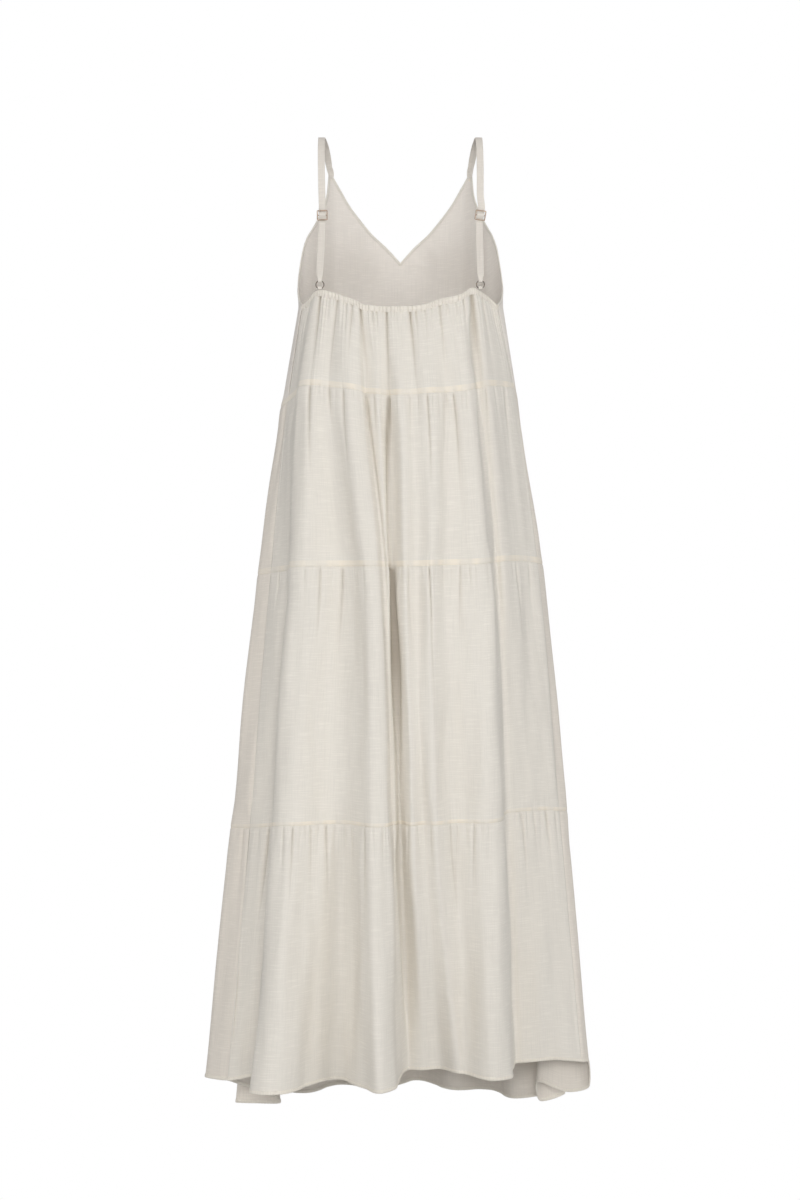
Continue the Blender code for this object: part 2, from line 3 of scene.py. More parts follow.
import bpy
import numpy as np
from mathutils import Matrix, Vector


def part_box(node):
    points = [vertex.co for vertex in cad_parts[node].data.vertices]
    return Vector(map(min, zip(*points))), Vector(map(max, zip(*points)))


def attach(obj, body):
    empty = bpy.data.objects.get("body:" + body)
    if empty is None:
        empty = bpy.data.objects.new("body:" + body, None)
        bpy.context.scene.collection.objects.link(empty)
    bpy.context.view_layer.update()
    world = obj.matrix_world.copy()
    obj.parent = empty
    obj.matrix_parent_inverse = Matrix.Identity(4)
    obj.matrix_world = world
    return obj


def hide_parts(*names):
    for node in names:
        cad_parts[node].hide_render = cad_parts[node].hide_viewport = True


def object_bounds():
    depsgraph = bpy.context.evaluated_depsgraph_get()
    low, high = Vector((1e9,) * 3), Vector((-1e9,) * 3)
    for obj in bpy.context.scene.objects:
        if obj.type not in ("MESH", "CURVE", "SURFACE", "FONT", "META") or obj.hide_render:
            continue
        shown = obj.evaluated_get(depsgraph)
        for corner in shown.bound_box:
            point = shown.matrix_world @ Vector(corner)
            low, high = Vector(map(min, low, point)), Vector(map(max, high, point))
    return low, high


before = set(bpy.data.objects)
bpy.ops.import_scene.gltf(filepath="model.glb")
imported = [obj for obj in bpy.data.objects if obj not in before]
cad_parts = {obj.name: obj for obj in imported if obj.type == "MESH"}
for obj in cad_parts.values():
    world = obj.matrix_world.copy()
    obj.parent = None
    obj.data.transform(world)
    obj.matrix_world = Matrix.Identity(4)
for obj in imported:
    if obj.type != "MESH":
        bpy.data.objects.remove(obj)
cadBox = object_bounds()
mm = 0.001
print("frame loaded:", len(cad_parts), "nodes")

# The dress is a closed loop of fold lines round the body, seen from above counter-clockwise.
# Sizes in mm unless a note says otherwise; +X is to the right and +Y ahead of the wearer.
form = {
    "levels": (0.0, 0.127, 0.361, 0.705, 1.055),  # metres below the top of the back
    "foldLines": (  # name, across and away at the top, the three seams and the hem
        ("leftSeam", (-137, -157, -181, -210, -240), (-30, -38, -42, -48, -58)),
        ("leftHollow", (-126, -143, -150, -166, -188), (-47, -72, -86, -92, -62)),
        ("leftLip", (-120, -139, -149, -170, -195), (-56, -99, -136, -168, -198)),
        ("leftCrest", (-111, -123, -129, -144, -160), (-62, -112, -150, -184, -214)),
        ("hollowA", (-90, -96, -70, -78, -84), (-72, -117, -143, -160, -135)),
        ("crestB", (-69, -68, -46, -37, -29), (-80, -131, -168, -200, -216)),
        ("centreLip", (-58, -53, -30, -17, -6), (-84, -129, -166, -194, -196)),
        ("hollowB", (-53, -46, -23, -10, 0), (-85, -121, -152, -173, -140)),
        ("smallCrest", (-38, -30, -16, -5, 5), (-88, -130, -152, -167, -122)),
        ("hollowC", (-24, -16, -9, 0, 12), (-90, -123, -143, -158, -105)),
        ("crestD", (-6, 0, 6, 16, 32), (-92, -136, -165, -184, -112)),
        ("hollowE", (12, 16, 21, 32, 54), (-91, -130, -158, -172, -105)),
        ("crestE", (33, 40, 42, 47, 76), (-89, -138, -166, -182, -118)),
        ("hollowF", (51, 63, 63, 75, 92), (-86, -125, -150, -160, -118)),
        ("crestG", (80, 89, 104, 114, 121), (-80, -128, -156, -172, -142)),
        ("rightLip", (92, 102, 121, 135, 149), (-75, -118, -146, -160, -128)),
        ("rightHollow", (98, 108, 131, 147, 161), (-70, -92, -98, -84, -40)),
        ("rightRise", (106, 119, 141, 158, 173), (-65, -92, -98, -78, -42)),
        ("rightSide", (123, 143, 169, 196, 220), (-45, -60, -62, -52, -36)),
        ("rightSeam", (137, 160, 193, 224, 256), (-30, -34, -36, -30, -20)),
        ("rightEdge", (146, 165, 202, 237, 269), (0, -10, -12, -8, -2)),
        ("rightCorner", (145, 165, 201, 236, 271), (11, 2, 0, 3, 12)),
        ("rightTuck", (143, 164, 199, 231, 240), (22, 14, 12, 16, 24)),
        ("rightPleat", (140, 160, 194, 218, 198), (33, 26, 25, 30, 35)),
        ("rightFold", (135, 155, 188, 212, 204), (45, 40, 42, 48, 58)),
        ("rightReturn", (129, 148, 180, 210, 238), (58, 54, 58, 66, 80)),
        ("leftReturn", (-128, -148, -178, -209, -238), (58, 52, 54, 58, 63)),
        ("leftPleat", (-137, -157, -188, -206, -172), (40, 32, 30, 34, 46)),
        ("leftTuck", (-143, -166, -196, -230, -236), (22, 12, 8, 6, 8)),
        ("leftEdge", (-145, -169, -201, -239, -275), (0, -12, -18, -20, -20)),
    ),
    "afterFront": ("leftReturn", "leftPleat", "leftTuck", "leftEdge"),
    "frontDepth": (  # metres below the top of the back, depth in metres
        (-0.200, 0.100), (-0.140, 0.112), (-0.080, 0.120), (0.000, 0.124),
        (0.127, 0.138), (0.361, 0.150), (0.705, 0.160), (1.055, 0.166),
    ),
    "frontFolds": (  # degrees from straight ahead, how far the line stands out at each level
        (54, (0, 2, 6, 10, 14)),
        (42, (0, -2, -9, -14, -22)),
        (30, (0, 2, 5, 9, 12)),
        (18, (0, -1, -5, -12, -15)),
        (6, (0, 2, 8, 14, 21)),
        (-6, (0, -2, -8, -15, -24)),
        (-18, (0, 2, 6, 10, 12)),
        (-30, (0, -2, -6, -10, -12)),
        (-42, (0, 2, 9, 15, 22)),
        (-54, (0, -1, -2, -3, -4)),
    ),
    "hang": (  # line, height of the top of the back, the three seams and the hem there
        ("leftSeam", (-241, -380, -620, -976, -1325)),
        ("leftLip", (-228, -366, -614, -960, -1308)),
        ("leftCrest", (-226, -365, -613, -958, -1306)),
        ("crestB", (-240, -372, -613, -958, -1304)),
        ("crestD", (-253, -380, -613, -958, -1298)),
        ("crestE", (-250, -378, -612, -957, -1300)),
        ("crestG", (-236, -374, -610, -956, -1305)),
        ("rightRise", (-225, -364, -605, -951, -1304)),
        ("rightSide", (-232, -361, -604, -951, -1302)),
        ("rightSeam", (-242, -361, -606, -954, -1308)),
        ("rightEdge", (-242, -364, -608, -957, -1315)),
        ("rightCorner", (-242, -366, -609, -960, -1350)),
        ("rightTuck", (-242, -368, -611, -963, -1361)),
        ("rightPleat", (-242, -371, -613, -966, -1350)),
        ("rightFold", (-242, -374, -615, -969, -1383)),
        ("rightReturn", (-242, -377, -617, -972, -1378)),
        (42, (-242, -381, -620, -978, -1390)),
        (6, (-242, -386, -623, -982, -1382)),
        (-42, (-242, -388, -624, -983, -1386)),
        ("leftReturn", (-242, -388, -624, -983, -1386)),
        ("leftPleat", (-242, -387, -624, -982, -1382)),
        ("leftTuck", (-242, -386, -623, -981, -1344)),
        ("leftEdge", (-241, -386, -623, -979, -1329)),
    ),
    "sideAngles": {  # degrees from straight ahead of the side lines
        "rightSeam": 104.0, "rightEdge": 90.0, "rightCorner": 85.0, "rightTuck": 80.0,
        "rightPleat": 74.5, "rightFold": 68.5, "rightReturn": 62.0, "leftReturn": -62.0,
        "leftPleat": -71.0, "leftTuck": -80.0, "leftEdge": -90.0,
    },
    "bust": {"across": 0.075, "height": -0.205, "width": 0.042, "reach": 0.055, "proud": 0.014},
    "clothThickness": 0.00055,
    "searchPoints": 1200,
}

lineNames = [row[0] for row in form["foldLines"] if row[0] not in form["afterFront"]]
frontStart = len(lineNames)
lineNames += [angle for angle, _ in form["frontFolds"]] + list(form["afterFront"])
lineCount = len(lineNames)
rightSeam = lineNames.index("rightSeam")
rightEdge = lineNames.index("rightEdge")
leftEdge = lineNames.index("leftEdge")
topLevel, seamOne, seamTwo, seamThree, hemLevel = form["levels"]


def smoothLine(at, knots, values):
    # smooth line through the values at the knots, flat beyond the ends
    knots = np.asarray(knots, float)
    values = np.asarray(values, float)
    at = np.clip(np.asarray(at, float), knots[0], knots[-1])
    slope = np.gradient(values, knots, axis=0)
    i = np.clip(np.searchsorted(knots, at, side="right") - 1, 0, len(knots) - 2)
    step = knots[i + 1] - knots[i]
    t = (at - knots[i]) / step
    extra = (1,) * (values.ndim - 1)
    step = np.reshape(step, np.shape(step) + extra)
    t = np.reshape(t, np.shape(t) + extra)
    return (
        (2 * t**3 - 3 * t**2 + 1) * values[i]
        + (t**3 - 2 * t**2 + t) * step * slope[i]
        + (3 * t**2 - 2 * t**3) * values[i + 1]
        + (t**3 - t**2) * step * slope[i + 1]
    )


def easeStep(x, low, high):
    t = np.clip((x - low) / (high - low), 0, 1)
    return t * t * (3 - 2 * t)


foldPlaces = np.array([np.stack(row[1:], axis=1) for row in form["foldLines"]]) * mm
foldTable = np.swapaxes(foldPlaces, 0, 1)


def linePlaces(level):
    # plan of every fold line at one level
    places = smoothLine(level, form["levels"], foldTable)
    right, left = places[rightEdge].copy(), places[-1].copy()
    depth = smoothLine(level, *zip(*form["frontDepth"]))
    if level < topLevel:
        places[rightEdge + 1 : -1, 1] *= depth / smoothLine(topLevel, *zip(*form["frontDepth"]))
    middle, half = (right + left) / 2, (right - left) / 2
    front = []
    for angle, proud in form["frontFolds"]:
        turn = math.radians(angle)
        out = smoothLine(level, form["levels"], proud) * mm
        away = middle[1] + half[1] * math.sin(turn) + (depth + out) * math.cos(turn)
        front.append((middle[0] + (half[0] + out) * math.sin(turn), away))
    return np.vstack([places[:frontStart], front, places[frontStart:]])


def planAt(level, along):
    # points of the loop at one level; a whole number along is a fold line
    lines = linePlaces(level)
    after = np.roll(lines, -1, 0) - lines
    before = np.roll(after, 1, 0)
    step = np.linalg.norm(after, axis=1, keepdims=True) ** 0.5
    last = np.roll(step, 1, 0)
    slope = after / step + before / last - (after + before) / (step + last)
    start = np.floor(along).astype(int)
    t = (along - start)[:, None]
    i = start % lineCount
    j = (i + 1) % lineCount
    return (
        (2 * t**3 - 3 * t**2 + 1) * lines[i]
        + (t**3 - 2 * t**2 + t) * step[i] * slope[i]
        + (3 * t**2 - 2 * t**3) * lines[j]
        + (t**3 - t**2) * step[i] * slope[j]
    )


def hangRows(along):
    places = [lineNames.index(row[0]) for row in form["hang"]]
    heights = np.array([row[1] for row in form["hang"]]) * mm
    places = np.array([places[-1] - lineCount] + places + [lineCount, lineCount + places[1]])
    heights = np.vstack([heights[-1:], heights, heights[:2]])
    return smoothLine(np.mod(along, lineCount), places, heights)


def heightAt(level, rows):
    # height at one level, from the rows of heights of hangRows
    levels = form["levels"]
    i = int(np.clip(np.searchsorted(levels, level, side="right") - 1, 0, len(levels) - 2))
    share = np.clip((level - levels[i]) / (levels[i + 1] - levels[i]), 0, 1)
    return rows[:, i] + (rows[:, i + 1] - rows[:, i]) * share - min(level, 0.0)


def outwardOf(points):
    # outward direction in plan of an open row of points
    tangent = np.gradient(points, axis=0)
    tangent /= np.linalg.norm(tangent, axis=1, keepdims=True)
    return np.column_stack([tangent[:, 1], -tangent[:, 0]])


def bustRound(points, up, along):
    bust = form["bust"]
    turn = np.mod(along, lineCount)
    side = (np.abs(points[:, 0]) - bust["across"]) / bust["width"]
    rise = (up - bust["height"]) / bust["reach"]
    return bust["proud"] * np.exp(-(side**2) - rise**2) * ((turn > rightEdge) & (turn < leftEdge))


def runAlong(points):
    # length along a row of points, up to each of them
    return np.concatenate([[0], np.cumsum(np.linalg.norm(np.diff(points, axis=0), axis=1))])


def evenColumns(start, end, levels, spacing):
    # places along the loop, evenly spaced over the mean of these levels
    dense = np.linspace(start, end, form["searchPoints"])
    run = np.mean([runAlong(planAt(level, dense)) for level in levels], axis=0)
    count = int(np.ceil(run[-1] / spacing))
    wanted = np.linspace(0, run[-1], count + 1)
    return np.interp(wanted, run, dense), wanted


# Tucks that run down from a seam of the back
tucks = {
    "shiftOnFront": 14,
    "start": 0.005,  # metres under the seam where a tuck is at its deepest
    "across": 0.4,  # share of it that shows at the seam
    "rise": 0.008,
    "reachAbove": 0.03,
    "lean": 0.05,
    "strength": 1.35,
    "spread": (0.6, 0.8, 1.6),
    "valley": 1.15,
    "rolls": (0.34, 2.4),  # height and width of the low roll on each side of a valley
    "rows": (  # level, then across, depth, half width and length of each in mm
        (topLevel, (-110.6, 4.6, 4.4, 95), (-99, 1.8, 2.6, 34), (-86.7, 4.4, 4.0, 105),
         (-76, 2.4, 3.0, 46), (-66, 3.8, 3.4, 72), (-55, 4.6, 3.6, 90), (-48, 2.0, 2.6, 50),
         (-38, 2.2, 3.0, 60), (-29, 1.5, 2.4, 28), (-19.6, 5.0, 4.0, 120), (-9, 1.6, 2.6, 30),
         (0, 1.2, 2.4, 26), (13.3, 4.6, 4.2, 110), (22, 1.6, 2.4, 30), (33.8, 3.2, 3.4, 78),
         (46, 1.8, 2.8, 40), (55, 4.0, 3.6, 95), (63.4, 2.6, 3.0, 50), (73.2, 2.4, 3.0, 44),
         (86.8, 2.8, 3.2, 52), (100.4, 5.2, 4.6, 110), (114.6, 3.4, 4.0, 70), (127, 1.8, 3.0, 40)),
        (seamOne, (-145, 1.8, 4, 40), (-124, 3.6, 4.6, 110), (-112, 1.6, 3, 34), (-97, 2.0, 3.4, 44),
         (-78, 4.0, 4.6, 100), (-64, 1.6, 3, 36), (-46, 4.4, 4.4, 210), (-36, 3.0, 4.0, 60),
         (-26, 1.4, 3, 32), (-15, 5.4, 3.6, 320), (2, 1.4, 3, 34), (14, 2.6, 3.8, 60),
         (24, 1.4, 2.8, 30), (36, 4.4, 4.4, 110), (45, 2.4, 3, 50), (52, 1.5, 2.6, 34),
         (61, 3.0, 3.6, 80), (72, 4.0, 4.0, 120), (82, 1.4, 2.8, 34), (90, 2.2, 3.4, 45),
         (104, 1.8, 3, 36), (117, 2.8, 4, 66), (131, 1.8, 3.4, 44), (146, 3.2, 4.6, 80)),
        (seamTwo, (-196, 1.6, 3, 40), (-182, 2.4, 4, 60), (-169, 2.6, 3.6, 50), (-150, 1.4, 3, 34),
         (-128, 2.0, 3.4, 50), (-116, 1.4, 3, 32), (-107, 4.0, 4.2, 95), (-92, 1.6, 3, 40),
         (-77, 3.8, 4.2, 105), (-62, 1.5, 3, 34), (-50, 2.2, 3.6, 48), (-38, 1.4, 2.8, 30),
         (-11, 10.0, 7.6, 190), (1, 1.5, 2.8, 30), (12, 3.2, 3.8, 66), (26, 1.6, 3, 34),
         (39, 4.4, 3.2, 150), (47, 1.6, 2.6, 36), (58, 2.0, 3, 44), (68, 1.6, 3, 36), (80, 3.2, 4, 95),
         (92, 1.6, 3, 36), (101, 2.2, 3.6, 52), (118, 1.6, 3, 36), (134, 1.8, 3.4, 44),
         (161, 3.4, 4.2, 80), (180, 2.4, 3.8, 62)),
        (seamThree, (-223, 3.8, 4, 90), (-210, 2.0, 3, 44), (-196, 2.2, 3.2, 48), (-182, 5.2, 4.4, 115),
         (-174, 2.2, 2.8, 40), (-167, 4.0, 3.8, 85), (-156, 2.8, 3.2, 60), (-142, 3.8, 4, 92),
         (-131, 1.8, 3, 40), (-118, 3.2, 3.8, 62), (-108, 1.6, 2.8, 34), (-99, 4.0, 4, 92),
         (-86, 1.8, 3, 40), (-76, 1.6, 3, 36), (-66, 2.4, 3.6, 52), (-48, 4.0, 4, 88),
         (-36, 1.8, 3, 40), (-22, 1.8, 3.2, 46), (-9, 2.2, 3.2, 60), (10, 3.2, 4, 74), (24, 1.6, 3, 36),
         (40, 2.2, 3.6, 52), (54, 1.6, 3, 36), (68, 4.2, 4, 92), (77, 3.2, 3.4, 80), (88, 1.8, 3, 40),
         (98, 3.4, 4, 84), (108, 1.6, 3, 34), (118, 2.0, 3.6, 50), (140, 1.6, 3, 40), (168, 3.8, 4, 84),
         (177, 2.0, 3, 44), (186, 2.8, 3.6, 62), (196, 1.8, 3, 40), (205, 3.4, 3.8, 74),
         (218, 2.4, 3.4, 60)),
    ),
}

# Small gathers right under each seam: mean pitch, depth, least share of it and reach in metres
gathers = {
    topLevel: {"pitch": 0.0072, "depth": 0.0048, "least": 0.4, "reach": 0.036, "seed": 1.3},
    seamOne: {"pitch": 0.0092, "depth": 0.0024, "least": 0.05, "reach": 0.022, "seed": 2.9},
    seamTwo: {"pitch": 0.0104, "depth": 0.0020, "least": 0.0, "reach": 0.020, "seed": 4.6},
    seamThree: {"pitch": 0.0108, "depth": 0.0026, "least": 0.05, "reach": 0.024, "seed": 6.1},
}
gatherSharpness = 0.7

# Soft shallow folds between the main ones: length across, length down, depth in mm, phase
softFolds = (
    (0.052, 0.70, 1.1, 0.4),
    (0.079, -0.95, 1.5, 2.2),
    (0.035, 0.46, 0.6, 4.0),
    (0.021, -0.33, 0.25, 1.1),
    (0.131, 1.40, 1.4, 5.2),
)


def uneven(s, scale, seed):
    # a smooth uneven value from 0 to 1 along a line
    wave = 0.5 * np.sin(s / scale * 6.283 + seed) + 0.3 * np.sin(s / scale * 14.6 + 2.1 * seed)
    return 0.5 + 0.5 * (wave + 0.2 * np.sin(s / scale * 33.1 + 3.7 * seed))


def seamStates(columns, isFront):
    # for each gathered seam: the columns' places along it, and the places of its tucks
    states = []
    for start, *rows in tucks["rows"]:
        if start == topLevel and isFront:
            continue
        points = planAt(start, columns)
        run = runAlong(points)
        found = []
        for number, (place, depth, halfWidth, length) in enumerate(rows):
            place = -(place + tucks["shiftOnFront"]) if isFront else place
            nearest = int(np.argmin(np.abs(points[:, 0] - place * mm)))
            lean = tucks["lean"] * math.sin(2.7 * number + 40 * start)
            found.append((run[nearest], depth * mm, halfWidth * mm, length * mm, lean))
        states.append((start, run, found))
    return states


def seamFade(below, rise):
    # how strong a fold is just above its seam, at it and just under it
    if below < 0:
        return tucks["across"] * math.exp(below / rise)
    return tucks["across"] + (1 - tucks["across"]) * min(below / tucks["start"], 1.0)


def tuckDrop(level, states):
    drop = 0.0
    least, more, most = tucks["spread"]
    rollHeight, rollWidth = tucks["rolls"]
    for start, run, rows in states:
        below = level - start
        if below < -tucks["reachAbove"] or (start == topLevel and below <= 0):
            continue
        for place, depth, halfWidth, length, lean in rows:
            if below > 2.6 * length:
                continue
            down = max(below, 0.0)
            fade = seamFade(below, tucks["rise"]) * math.exp(-((down / length) ** 1.5))
            spread = halfWidth * (least + more * min(down / length, most))
            side = (run - place - lean * down) / spread
            # a creased valley between two low rolls
            valley = np.exp(-(np.abs(side) ** tucks["valley"]))
            valley -= rollHeight * np.exp(-((side / rollWidth) ** 2))
            drop = drop + tucks["strength"] * depth * fade * valley
    return drop


def gatherDrop(level, states):
    drop = 0.0
    for start, s, _ in states:
        row = gathers[start]
        below = level - start
        if below < -0.02 or below > 5 * row["reach"] or (start == topLevel and below <= 0):
            continue
        seed = row["seed"]
        phase = s / row["pitch"] + 0.6 * np.sin(s / 0.0125 + seed) + 0.3 * np.sin(s / 0.0051 + 2 * seed)
        crease = 0.7 - np.abs(np.sin(math.pi * phase)) ** gatherSharpness
        depth = row["depth"] * (row["least"] + (1 - row["least"]) * 1.5 * uneven(s, 0.061, seed) ** 2)
        reach = row["reach"] * (0.3 + 1.5 * uneven(s, 0.037, seed + 5) ** 1.5)
        fade = seamFade(below, 0.005) * np.exp(-((max(below, 0.0) / reach) ** 1.15))
        drop = drop + depth * crease * fade
    return drop


# Slight wrinkles of the back's tiers: across, height, length, lean in degrees, depth, half width
wrinkles = (
    (68, -1186, 46, -38, 1.2, 3.0),
    (77, -1180, 40, -44, 1.0, 2.6),
    (86, -1196, 44, -34, 0.9, 3.0),
    (60, -1206, 34, -50, 0.7, 2.6),
    (-96, -1150, 60, 12, 0.8, 4.0),
    (-120, -1230, 70, -9, 0.9, 5.0),
    (-52, -1120, 60, 8, 0.8, 4.0),
    (120, -1130, 60, -14, 0.9, 4.4),
    (-74, -760, 80, 7, 0.9, 5.0),
    (88, -720, 70, -9, 0.8, 4.6),
    (60, -860, 90, 6, 0.8, 5.0),
    (-110, -860, 80, -8, 0.9, 5.0),
    (-84, -480, 70, 9, 0.8, 4.4),
    (56, -460, 60, -10, 0.9, 4.0),
    (100, -520, 70, -6, 0.8, 4.6),
    (30, -330, 40, 14, 0.7, 3.4),
    (-40, -320, 44, -12, 0.8, 3.6),
)


def creaseDrop(across, up, creases):
    drop = np.zeros_like(across)
    for x, z, length, lean, depth, halfWidth in creases:
        turn = math.radians(lean)
        right, high = across - x * mm, up - z * mm
        lengthwise = high * math.cos(turn) + right * math.sin(turn)
        sideways = right * math.cos(turn) - high * math.sin(turn)
        ends = np.exp(-((lengthwise / (length * mm / 2)) ** 4))
        drop += depth * mm * np.exp(-((sideways / (halfWidth * mm)) ** 2)) * ends
    return drop


def softDrop(level, s, panelSeed):
    drop = np.zeros_like(s)
    for lengthAcross, lengthDown, depth, phase in softFolds:
        drift = s / lengthAcross + level / lengthDown + 0.25 * np.sin(level / 0.11 + phase + panelSeed)
        drop += depth * mm * np.sin(6.283 * drift + phase + panelSeed)
    return drop


print("form and folds ready")

clothColours = {
    "thread": (0.825, 0.784, 0.714),
    "shade": (0.772, 0.722, 0.638),
    "allowance": (0.920, 0.845, 0.725),
    "allowanceHeight": 0.0088,
    "allowanceShare": (0.25, 0.90),
    # painted shade: the dark warm colour that creases are mixed towards, by their fold depth
    "crease": (0.340, 0.275, 0.195),
    "creaseStart": 0.0009,
    "creaseDepth": 0.0048,
    "creaseShare": 0.56,
    "slubLength": 0.026,
    "slubHeight": 0.0013,
    "slubLight": 1.09,
    "warpDark": 0.90,
    "cloudSize": (0.09, 0.16),
    "roughness": 0.86,
    "sheen": 0.12,
    "gloss": 0.25,
    "weavePitch": 0.0007,
    "weaveBump": 0.12,
    "slubBump": 0.35,
    "bumpDepth": 0.0006,
    "bumpStrength": 0.6,
}
# Thread and shade where the cloth is doubled or seen from inside; the front's warmer copy is painted shade,
# the bodice's lighter copy partly painted light
clothShades = {
    # painted shade: the front panels' sides, turned from the light, are warmer in colour
    "front": {"thread": (0.838, 0.780, 0.702), "shade": (0.786, 0.718, 0.626)},
    # partly painted light: the bodice is lighter as lined cloth and for the light coming through it from
    # behind
    "bodice": {"thread": (0.896, 0.844, 0.782), "shade": (0.856, 0.794, 0.722)},
    "casing": {"thread": (0.850, 0.800, 0.720), "shade": (0.800, 0.745, 0.650)},
    "doubled": {"thread": (0.860, 0.808, 0.718), "shade": (0.810, 0.745, 0.640)},
    "strap": {"thread": (0.808, 0.757, 0.690), "shade": (0.756, 0.696, 0.614)},
}
stitchColours = {"light": (0.840, 0.800, 0.730), "dark": 0.86, "twist": 1800.0, "roughness": 0.6}
# painted reflection: the light gold's base is darkened for the dark surroundings it reflects; the ring's copy
# is darker still, as painted shade
metalColours = {"base": (0.34, 0.265, 0.21), "deeper": 0.82, "roughness": 0.30, "scuffs": 900.0}
ringColoursPaintedShade = dict(metalColours, base=(0.20, 0.165, 0.14))


def newMaterial(name):
    material = bpy.data.materials.new(name)
    material.use_nodes = True
    nodes = material.node_tree.nodes
    return material, nodes, material.node_tree.links, nodes["Principled BSDF"]


def setSockets(links, pairs):
    # each socket gets a link, a colour or a number
    for socket, value in pairs:
        if hasattr(value, "links"):
            links.new(value, socket)
        elif isinstance(value, tuple):
            socket.default_value = (*value, 1.0)
        elif value is not None:
            socket.default_value = value


def mathNode(nodes, links, operation, first, second=None):
    node = nodes.new("ShaderNodeMath")
    node.operation = operation
    setSockets(links, zip(node.inputs, (first, second)))
    return node.outputs[0]


def mixColour(nodes, links, share, first, second):
    node = nodes.new("ShaderNodeMix")
    node.data_type = "RGBA"
    setSockets(links, ((node.inputs[0], share), (node.inputs[6], first), (node.inputs[7], second)))
    return node.outputs[2]


def mapRange(nodes, links, value, fromMin, fromMax, toMin=0.0, toMax=1.0):
    node = nodes.new("ShaderNodeMapRange")
    names = ("Value", "From Min", "From Max", "To Min", "To Max")
    setSockets(links, zip((node.inputs[name] for name in names), (value, fromMin, fromMax, toMin, toMax)))
    return node.outputs[0]


def splitMap(nodes, links, mapName):
    # a UV map of the piece, whole and as its two parts
    layer = nodes.new("ShaderNodeUVMap")
    layer.uv_map = mapName
    parts = nodes.new("ShaderNodeSeparateXYZ")
    links.new(layer.outputs["UV"], parts.inputs[0])
    return layer.outputs["UV"], parts.outputs["X"], parts.outputs["Y"]


def stretchedNoise(nodes, links, vector, across, down, detail=2.0):
    # noise whose spots are so many metres across and down the cloth
    mapping = nodes.new("ShaderNodeMapping")
    mapping.inputs["Scale"].default_value = (1 / across, 1 / down, 1.0)
    links.new(vector, mapping.inputs["Vector"])
    noise = nodes.new("ShaderNodeTexNoise")
    noise.noise_dimensions = "2D"
    noise.inputs["Scale"].default_value = 1.0
    noise.inputs["Detail"].default_value = detail
    links.new(mapping.outputs["Vector"], noise.inputs["Vector"])
    return noise.outputs["Fac"]


def clothThreads(nodes, links, uv, base):
    # the cloth's colour, with its slubs across and its fainter thin stretches down
    slubs = stretchedNoise(nodes, links, uv, base["slubLength"], base["slubHeight"], 3.0)
    warps = stretchedNoise(nodes, links, uv, base["slubHeight"], base["slubLength"] * 1.6, 3.0)
    clouds = stretchedNoise(nodes, links, uv, *base["cloudSize"])
    cloudShare = mathNode(nodes, links, "MULTIPLY", clouds, 0.55)
    streaks = mathNode(nodes, links, "MULTIPLY", mapRange(nodes, links, slubs, 0.50, 0.74), 0.8)
    thin = mathNode(nodes, links, "MULTIPLY", mapRange(nodes, links, warps, 0.52, 0.30), 0.4)
    light = tuple(min(1.0, part * base["slubLight"]) for part in base["thread"])
    dark = tuple(part * base["warpDark"] for part in base["thread"])
    colour = mixColour(nodes, links, clouds, base["shade"], base["thread"])
    colour = mixColour(nodes, links, cloudShare, base["thread"], colour)
    colour = mixColour(nodes, links, streaks, colour, light)
    return mixColour(nodes, links, thin, colour, dark), slubs, warps


def seamStripAndPaintedCreaseShade(nodes, links, uv, base, colour):
    # the seam allowance shows through in uneven patches
    toEdge = splitMap(nodes, links, "edges")[2]
    strip = mathNode(nodes, links, "LESS_THAN", toEdge, base["allowanceHeight"])
    patches = stretchedNoise(nodes, links, uv, 0.017, 0.2, 1.0)
    patches = mapRange(nodes, links, patches, 0.32, 0.68, *base["allowanceShare"])
    strip = mathNode(nodes, links, "MULTIPLY", strip, patches)
    colour = mixColour(nodes, links, strip, colour, base["allowance"])
    # painted shade: the base colour turns darker and warmer with the fold depth, for the shade in each crease
    # and the light that has passed through the cloth there
    depth = splitMap(nodes, links, "folds")[1]
    reach = (base["creaseStart"], base["creaseDepth"], 0.0, base["creaseShare"])
    creaseShadeShare = mapRange(nodes, links, depth, *reach)
    return mixColour(nodes, links, creaseShadeShare, colour, base["crease"])


def weaveBump(nodes, links, across, down, slubs, warps, base):
    # the plain weave itself, over and under, with the slubs on it
    rate = 6.2832 / base["weavePitch"]
    weft = mathNode(nodes, links, "SINE", mathNode(nodes, links, "MULTIPLY", across, rate))
    warp = mathNode(nodes, links, "SINE", mathNode(nodes, links, "MULTIPLY", down, rate))
    weave = mathNode(nodes, links, "MULTIPLY", weft, warp)
    height = mathNode(nodes, links, "MULTIPLY", weave, base["weaveBump"])
    raised = mathNode(nodes, links, "ADD", slubs, mathNode(nodes, links, "MULTIPLY", warps, 0.6))
    raised = mathNode(nodes, links, "MULTIPLY", raised, base["slubBump"])
    bump = nodes.new("ShaderNodeBump")
    bump.inputs["Distance"].default_value = base["bumpDepth"]
    bump.inputs["Strength"].default_value = base["bumpStrength"]
    links.new(mathNode(nodes, links, "ADD", height, raised), bump.inputs["Height"])
    return bump.outputs["Normal"]


def makeClothMaterial(name, base, withAllowance):
    material, nodes, links, shader = newMaterial(name)
    uv, across, down = splitMap(nodes, links, "cloth")
    colour, slubs, warps = clothThreads(nodes, links, uv, base)
    if withAllowance:
        colour = seamStripAndPaintedCreaseShade(nodes, links, uv, base, colour)
    links.new(colour, shader.inputs["Base Color"])
    links.new(weaveBump(nodes, links, across, down, slubs, warps, base), shader.inputs["Normal"])
    shader.inputs["Roughness"].default_value = base["roughness"]
    shader.inputs["Sheen Weight"].default_value = base["sheen"]
    shader.inputs["Sheen Roughness"].default_value = 0.5
    shader.inputs["Specular IOR Level"].default_value = base["gloss"]
    return material


def objectNoise(nodes, links, scale, detail=2.0):
    place = nodes.new("ShaderNodeTexCoord")
    noise = nodes.new("ShaderNodeTexNoise")
    noise.inputs["Scale"].default_value = scale
    noise.inputs["Detail"].default_value = detail
    links.new(place.outputs["Object"], noise.inputs["Vector"])
    return noise.outputs["Fac"]


